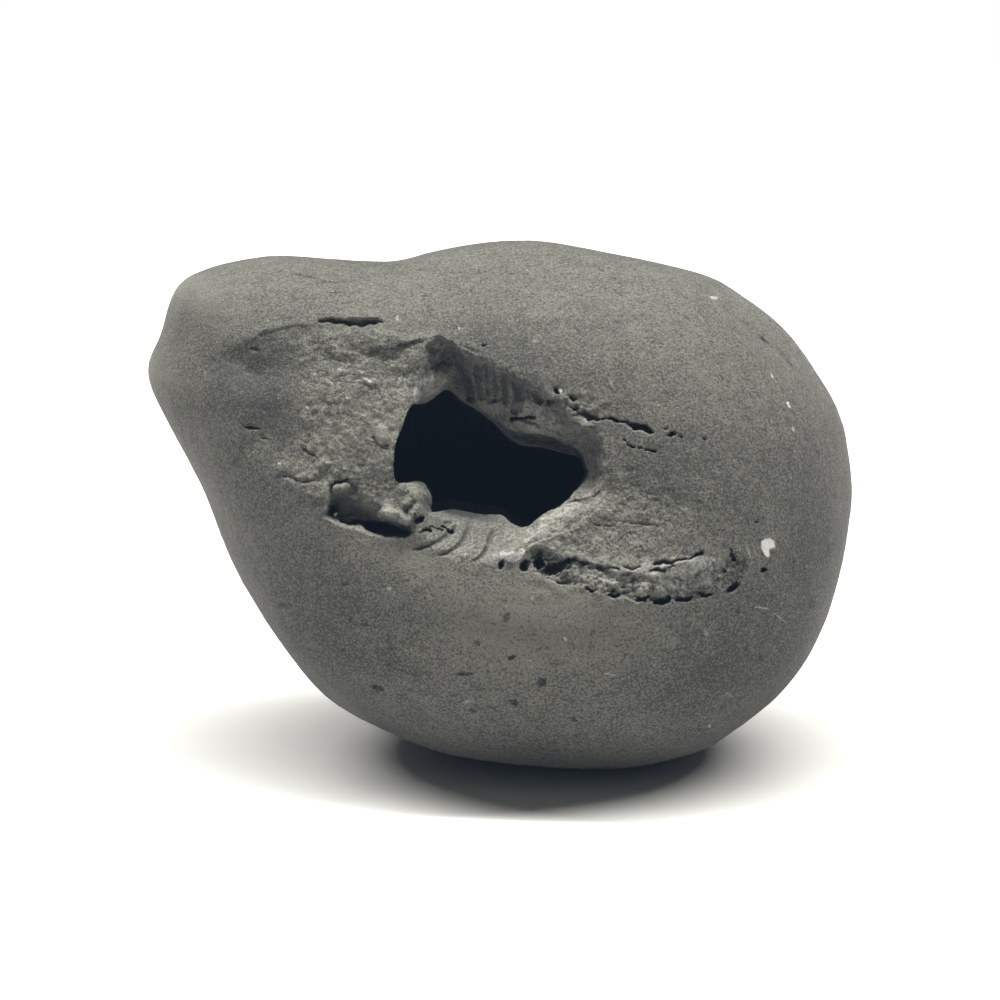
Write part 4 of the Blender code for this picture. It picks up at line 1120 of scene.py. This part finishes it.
class Value:
    """A socket that adds Math nodes when it is used in an expression."""

    def __init__(self, shading, socket):
        self.shading = shading
        self.socket = socket

    def _math(self, operation, first, second):
        return self.shading.node("ShaderNodeMath", {"operation": operation}, {0: first, 1: second})

    def __add__(self, other):
        return self._math("ADD", self, other)

    __radd__ = __add__

    def __sub__(self, other):
        return self._math("SUBTRACT", self, other)

    def __rsub__(self, other):
        return self._math("SUBTRACT", other, self)

    def __mul__(self, other):
        return self._math("MULTIPLY", self, other)

    def __rtruediv__(self, other):
        return self._math("DIVIDE", other, self)

    def over(self, low, high):
        """0 below low and 1 above high, smoothly between; the other way round where high is the lower."""
        settings = {"interpolation_type": "SMOOTHSTEP"}
        inputs = {"Value": self, "From Min": low, "From Max": high}
        return self.shading.node("ShaderNodeMapRange", settings, inputs)


class Shading:
    """The nodes of one material, or of the world, up to its last shader."""

    def __init__(self, owner, shader="Principled BSDF"):
        owner.use_nodes = True
        self.tree = owner.node_tree
        self.sockets = self.tree.nodes[shader].inputs

    def node(self, kind, settings, inputs, output=0):
        """Add a node: its settings first, and then the values or links of its sockets."""
        made = self.tree.nodes.new(kind)
        for name, setting in settings.items():
            setattr(made, name, setting)
        for key, value in inputs.items():
            self.feed(made.inputs[key], value)
        return Value(self, made.outputs[output])

    def feed(self, socket, value):
        if isinstance(value, Value):
            self.tree.links.new(value.socket, socket)
        else:
            socket.default_value = value

    def feed_shader(self, values):
        for name, value in values.items():
            self.feed(self.sockets[name], value)

    def mix(self, factor, first, second):
        """Mix two colours: after the factor, the node has a few sockets for each kind of value."""
        settings = {"data_type": "RGBA", "clamp_factor": True}
        return self.node("ShaderNodeMix", settings, {0: factor, 6: first, 7: second}, 2)

    def stretched(self, place, scale):
        return self.node("ShaderNodeVectorMath", {"operation": "MULTIPLY"}, {0: place, 1: scale})

    def dot(self, place, axis):
        """How far a place lies along an axis, in lengths of that axis."""
        return self.node("ShaderNodeVectorMath", {"operation": "DOT_PRODUCT"}, {0: place, 1: axis}, "Value")

    def wobbling(self, place, reach):
        """A place that is shifted by noise, so that what is laid out on it is uneven."""
        inputs = {"Vector": place, "Scale": 1.0 / reach, "Detail": 1.0}
        shift = self.node("ShaderNodeTexNoise", {}, inputs, "Color")
        inputs = {0: shift, 1: (reach, reach, reach), 2: place}
        return self.node("ShaderNodeVectorMath", {"operation": "MULTIPLY_ADD"}, inputs)

    def noise(self, place, size, detail=3.0, roughness=0.6):
        """Noise from 0 to 1, with lumps of the given size in millimetres."""
        inputs = {"Vector": place, "Scale": 1.0 / size, "Detail": detail, "Roughness": roughness}
        return self.node("ShaderNodeTexNoise", {}, inputs)

    def cells(self, place, size, output="Distance"):
        inputs = {"Vector": place, "Scale": 1.0 / size}
        return self.node("ShaderNodeTexVoronoi", {}, inputs, output)

    def attribute(self, name):
        return self.node("ShaderNodeAttribute", {"attribute_name": name}, {}, "Fac")


def grey(level, warmth=0.0):
    """A grey of the given lightness, a little yellowish for warmth above 0 and bluish below it."""
    return (level * (1.0 + 0.1 * warmth), level * (1.0 + 0.07 * warmth), level * (1.0 - 0.17 * warmth), 1.0)


# What the mesh carries: how pale and gritty, its painted shade, how sunk, how white or highlighted, its
# stains with painted light, its grooves.
MARKS = ("pale", "grit", "painted_shade", "hollow", "white", "stain_and_painted_light", "groove")

# Sizes in millimetres, and how the noise is squeezed along each axis: below 1 it is drawn out.
CLOUD_SIZE = 9.0
BLOTCH_SIZE = 2.2
STREAK_SIZE, STREAK_STRETCH = 0.8, (0.4, 0.8, 1.0)
CRUMB_SIZE, CRUMB_CELL, CRUMB_WOBBLE = 0.9, 0.75, 0.5
GRAIN_SIZE = 0.24
STROKE_SIZE, STROKE_STRETCH = 0.45, (0.3, 0.8, 1.0)
SCUFF_SIZE, SCUFF_STRETCH = 0.5, (0.7, 0.8, 0.4)
PIN_PIT_SPACING = 1.2
SPECK_SPACING, SPECK_STRETCH = 1.9, (1.1, 1.2, 1.15)
GRAINY_HEIGHTS = (30.0, 12.0)  # the skin is grainier below these heights

SKIN_GREYS = grey(0.05, 0.2), grey(0.19, 0.65)  # the darkest and the palest skin
BARE_GREYS = grey(0.075, 0.3), grey(0.27, 0.65)
# Greys of the painted shade in crevices and the painted highlight on edges.
CREVICE_SHADE_GREY = grey(0.03)
EDGE_HIGHLIGHT_GREY = grey(0.26, 0.6)
# Grey of the dark flecks and of the painted shade in small pits.
DARK_FLECK_AND_PIT_SHADE_GREY = grey(0.012)
SPECK_GREY = grey(0.7, 0.1)
# Grey of the white patches and of the painted highlights along edges.
WHITE_AND_HIGHLIGHT_GREY = grey(0.75, 0.1)
# The near-black colour of the painted shade in the hollow and near the hole.
PAINTED_SHADE_COLOUR = (0.02, 0.022, 0.025, 1.0)

# Where the noise, or the distance from a cell's middle, turns into a mark: from nothing to full.
STROKE_EDGE = (0.64, 0.76)
SCUFF_EDGE = (0.66, 0.78)
PIN_PIT_EDGE = (0.13, 0.04)
SPECK_EDGE = (0.08, 0.04)

# How much each pattern changes the tone, which runs from 0 for the darkest stone to 1 for the palest.
CLOUD_TONE, BLOTCH_TONE, STREAK_TONE = 0.4, 0.5, 0.4
GRAIN_TONE, LOW_GRAIN_TONE = 3.5, 1.6
CRUMB_TONE, GRIT_TONE = 0.4, 1.3
# The grooves' tone is painted shade.
GROOVE_SHADE_TONE, STROKE_TONE, SCUFF_TONE = 1.2, 0.4, 0.35
MIDDLE_TONE = 0.5
LUMP_MIDDLE = 0.4
NOISE_SHARE, LUMP_SHARE = 0.75, 0.35  # of the crumbs

# Painted shade in crevices and painted highlight on edges: between which depths under the smoothed surface
# they show, and how strongly.
CREVICE_DEPTHS, CREVICE_SHARE = (0.04, 0.5), 0.5
EDGE_DEPTHS, EDGE_SHARE = (-0.06, -0.35), 0.35
PIN_PIT_SHARE, SPECK_SHARE = 0.5, 0.25
FLECK_SHARE = 0.9  # where the crumbs and grains are at their middle; they break the flecks up by:
DARK_CRUMBS, DARK_GRAINS, PALE_CRUMBS = 2.5, 3.0, 1.8
# Where the white patches and the painted edge highlights come in, and how crumbs and grains break them up.
WHITE_AND_HIGHLIGHT_EDGE, WHITE_AND_HIGHLIGHT_CRUMBS, WHITE_AND_HIGHLIGHT_GRAINS = (0.0, 0.5), 0.9, 0.8
# Where the painted shade of the hollow and of the spots near it comes in, and how crumbs and grains break it
# up.
PAINTED_SHADE_EDGE, PAINTED_SHADE_CRUMBS, PAINTED_SHADE_GRAINS = (0.1, 0.8), 0.5, 0.4

# The finest relief, in millimetres.
GRAIN_HEIGHT, CRUMB_HEIGHT, GRIT_HEIGHT = 0.12, 0.05, 0.5
BLOTCH_HEIGHT, PIN_PIT_DEPTH = 0.06, 0.08

ROUGHNESS, GRAIN_ROUGHNESS = 0.8, 0.2
DUST = 0.35  # how much the fine dust on the skin catches the light towards the stone's edges
DUST_ROUGHNESS = 0.22
DARK_FLECKS = 1.4  # how much stronger the dark flecks are than their tones say
FLECK_WOBBLE = 0.3  # how ragged the flecks' outlines are
FLECK_EDGE = (1.5, 0.4)  # as shares of the fleck's reach, squared
FLECK_FADE = (3.0, 1.0)  # they come in between these places behind the outline's plane


def on_layout(shading, place):
    """A place of the stone on the layout, and how far it lies behind the outline's plane."""
    across_axis, up_axis, back_axis = (1.0, 0.0, 0.0), (0.0, LEAN_SIN, LEAN_COS), (0.0, LEAN_COS, -LEAN_SIN)
    start = Vector((-SPOT_CENTRE, SPOT_FORWARD, CENTRE_HEIGHT))
    place = shading.node("ShaderNodeVectorMath", {"operation": "SUBTRACT"}, {0: place, 1: start})
    back = shading.dot(place, back_axis)
    nearer = EYE_DISTANCE / (back + EYE_DISTANCE)
    across = shading.dot(place, across_axis) * nearer
    up = (shading.dot(place, up_axis) - EYE_HEIGHT) * nearer + EYE_HEIGHT
    return shading.node("ShaderNodeCombineXYZ", {}, {0: across, 1: up, 2: 1.0}), back


def flecks(shading, place):
    """Pale and dark flecks and scratches on the skin, as a change of tone; some dark ones are painted shade
    in small pits.
    """
    spot_place, back = on_layout(shading, shading.wobbling(place, FLECK_WOBBLE))
    pale, dark = 0.0, 0.0
    for across, up, half_length, half_width, turn, tone in FLECKS:
        sine, cosine = math.sin(math.radians(turn)), math.cos(math.radians(turn))
        across, up = across + FLECK_WOBBLE / 2, up + FLECK_WOBBLE / 2
        along = Vector((cosine, sine, -across * cosine - up * sine)) / half_length
        aside = Vector((-sine, cosine, across * sine - up * cosine)) / half_width
        along, aside = shading.dot(spot_place, along), shading.dot(spot_place, aside)
        spot = (along * along + aside * aside).over(*FLECK_EDGE)
        if tone > 0:
            pale = spot * tone + pale
        else:
            dark = spot * (tone * -DARK_FLECKS) + dark
    front = back.over(*FLECK_FADE)
    return pale * front, dark * front


def stone_material():
    """Matt dark stone: dusty grey skin with a fine grain, and paler rough ground where it is broken."""
    material = bpy.data.materials.new("stone")
    shading = Shading(material)
    place = shading.node("ShaderNodeTexCoord", {}, {}, "Object")
    place = shading.stretched(place, (1.0 / MM, 1.0 / MM, 1.0 / MM))
    pale, grit, painted_shade, hollow, white, stain_and_painted_light, groove = map(shading.attribute, MARKS)

    cloud = shading.noise(place, CLOUD_SIZE, 2.0) - 0.5
    blotch = shading.noise(place, BLOTCH_SIZE, 4.0, 0.65) - 0.5
    streak = shading.noise(shading.stretched(place, STREAK_STRETCH), STREAK_SIZE, 2.0, 0.6) - 0.5
    crumbs = shading.noise(place, CRUMB_SIZE, 5.0, 0.75) - 0.5
    lumps = LUMP_MIDDLE - shading.cells(shading.wobbling(place, CRUMB_WOBBLE), CRUMB_CELL)
    crumbs = crumbs * NOISE_SHARE + lumps * LUMP_SHARE
    grains = shading.noise(place, GRAIN_SIZE, 2.0, 0.9) - 0.5
    strokes = shading.noise(shading.stretched(place, STROKE_STRETCH), STROKE_SIZE, 1.0).over(*STROKE_EDGE)
    scuffs = shading.noise(shading.stretched(place, SCUFF_STRETCH), SCUFF_SIZE, 1.0).over(*SCUFF_EDGE)
    pin_pits = shading.cells(place, PIN_PIT_SPACING).over(*PIN_PIT_EDGE)
    specks = shading.cells(shading.stretched(place, SPECK_STRETCH), SPECK_SPACING).over(*SPECK_EDGE)
    low = shading.node("ShaderNodeSeparateXYZ", {}, {0: place}, "Z").over(*GRAINY_HEIGHTS)

    tone = cloud * CLOUD_TONE + blotch * BLOTCH_TONE + streak * STREAK_TONE
    tone = tone + grains * (low * LOW_GRAIN_TONE + GRAIN_TONE) + stain_and_painted_light
    # The shell's grooves are painted darker, as shade.
    tone = tone + crumbs * (grit * GRIT_TONE + CRUMB_TONE) - groove * GROOVE_SHADE_TONE
    tone = tone - strokes * STROKE_TONE + scuffs * SCUFF_TONE + MIDDLE_TONE
    colour = shading.mix(pale, shading.mix(tone, *SKIN_GREYS), shading.mix(tone, *BARE_GREYS))
    # Painted shade in crevices, and painted highlight on edges.
    colour = shading.mix(hollow.over(*CREVICE_DEPTHS) * CREVICE_SHARE, colour, CREVICE_SHADE_GREY)
    colour = shading.mix(hollow.over(*EDGE_DEPTHS) * EDGE_SHARE, colour, EDGE_HIGHLIGHT_GREY)
    pale_spots, dark_flecks_and_pit_shade = flecks(shading, place)
    dark_flecks_and_pit_shade = dark_flecks_and_pit_shade * (FLECK_SHARE - crumbs * DARK_CRUMBS - grains * DARK_GRAINS)
    # Dark flecks, partly painted shade in small pits, and the pin pits, painted darker as shade.
    colour = shading.mix(dark_flecks_and_pit_shade + pin_pits * PIN_PIT_SHARE, colour, DARK_FLECK_AND_PIT_SHADE_GREY)
    pale_spots = pale_spots * (crumbs * PALE_CRUMBS + FLECK_SHARE)
    colour = shading.mix(pale_spots + specks * SPECK_SHARE, colour, SPECK_GREY)
    # White patches, and painted highlights along edges.
    white_and_highlight = (white + crumbs * WHITE_AND_HIGHLIGHT_CRUMBS + grains * WHITE_AND_HIGHLIGHT_GRAINS).over(*WHITE_AND_HIGHLIGHT_EDGE)
    colour = shading.mix(white * white_and_highlight, colour, WHITE_AND_HIGHLIGHT_GREY)
    # Painted shade: the hollow's wall and the spots near the hole turn near black.
    dim = painted_shade + crumbs * PAINTED_SHADE_CRUMBS + grains * PAINTED_SHADE_GRAINS
    colour = shading.mix(dim.over(*PAINTED_SHADE_EDGE), colour, PAINTED_SHADE_COLOUR)

    height = grains * GRAIN_HEIGHT + crumbs * (grit * GRIT_HEIGHT + CRUMB_HEIGHT)
    height = height + blotch * BLOTCH_HEIGHT - pin_pits * PIN_PIT_DEPTH
    bump = shading.node("ShaderNodeBump", {}, {"Strength": 1.0, "Distance": MM, "Height": height})
    shading.feed_shader({
        "Base Color": colour, "Roughness": ROUGHNESS + grains * GRAIN_ROUGHNESS, "Normal": bump,
        "Sheen Weight": DUST, "Sheen Roughness": DUST_ROUGHNESS,
    })  # fmt: skip
    return material


stone.data.materials.append(stone_material())

# --- Floor, light and camera ---

FLOOR_RADIUS = 2.5
LAMP_HEIGHT = 6.0
LAMP_FORWARD = 0.2  # towards the camera
LAMP_ASIDE = 0.3  # towards the beak
LAMP_TURN = -6.0  # seen from above, in degrees
LAMP_SIZE = (13.0, 0.3)  # a long strip, from left to right
LAMP_POWER = 1240.0
ROOM_LIGHT = 0.06
LAMP_COLOUR = (1.0, 0.985, 0.93)
HAZE = (0.0052, 0.0091, 0.0144)  # what the blackest black still shows
FLOOR_SHADE = 0.95
FLOOR_BOUNCE = 0.53  # what the floor gives back to the stone: it is a small sheet
FLOOR_ROUGHNESS = 0.9
FRAME_WIDTH = 107.4  # of the picture at the outline's plane, in millimetres


def lit_and_seen(shading, lighting, seen):
    """One value for the light that something gives, and another for what the camera sees of it."""
    camera_ray = shading.node("ShaderNodeLightPath", {}, {}, "Is Camera Ray")
    inputs = {"Value": camera_ray, "To Min": lighting, "To Max": seen}
    return shading.node("ShaderNodeMapRange", {}, inputs)


def make_floor():
    bm = bmesh.new()
    bmesh.ops.create_circle(bm, cap_ends=True, segments=96, radius=FLOOR_RADIUS)
    floor = add_object("floor", mesh_from(bm, "floor"))
    white = bpy.data.materials.new("floor")
    shading = Shading(white)
    shade = lit_and_seen(shading, FLOOR_BOUNCE, FLOOR_SHADE)
    shading.feed_shader({"Base Color": shade, "Roughness": FLOOR_ROUGHNESS})
    floor.data.materials.append(white)


def make_room_light():
    """A white room that lights the stone softly; the camera sees it as plain white."""
    room = bpy.data.worlds.new("room")
    shading = Shading(room, "Background")
    strength = lit_and_seen(shading, ROOM_LIGHT, 1.0)
    shading.feed_shader({"Color": (1.0, 1.0, 1.0, 1.0), "Strength": strength})
    bpy.context.scene.world = room


def make_lamp():
    lamp = bpy.data.lights.new("overhead_strip", "AREA")
    lamp.shape = "RECTANGLE"
    lamp.size, lamp.size_y = LAMP_SIZE
    lamp.energy = LAMP_POWER
    lamp.color = LAMP_COLOUR
    strip = bpy.data.objects.new("overhead_strip", lamp)
    strip.location = (-LAMP_ASIDE, -LAMP_FORWARD, LAMP_HEIGHT)
    strip.rotation_euler.z = math.radians(LAMP_TURN)
    bpy.context.scene.collection.objects.link(strip)


def make_camera():
    """The camera stands at the eye from which the broken ground is laid out."""
    camera = bpy.data.cameras.new("camera")
    camera.lens = camera.sensor_width * EYE_DISTANCE / FRAME_WIDTH
    camera.clip_start = 0.01
    viewer = bpy.data.objects.new("camera", camera)
    eye = to_world(np.array([[0.0, EYE_HEIGHT, -EYE_DISTANCE]]))[0]
    viewer.matrix_world = Matrix.Translation(eye) @ Matrix.Rotation(math.radians(90.0 - LEAN), 4, "X")
    bpy.context.scene.collection.objects.link(viewer)
    bpy.context.scene.camera = viewer


def set_tones():
    settings = bpy.context.scene.view_settings
    settings.view_transform = "Standard"
    settings.use_curve_mapping = True
    settings.curve_mapping.black_level = [-haze for haze in HAZE]
    settings.curve_mapping.update()


make_floor()
make_room_light()
make_lamp()
make_camera()
set_tones()
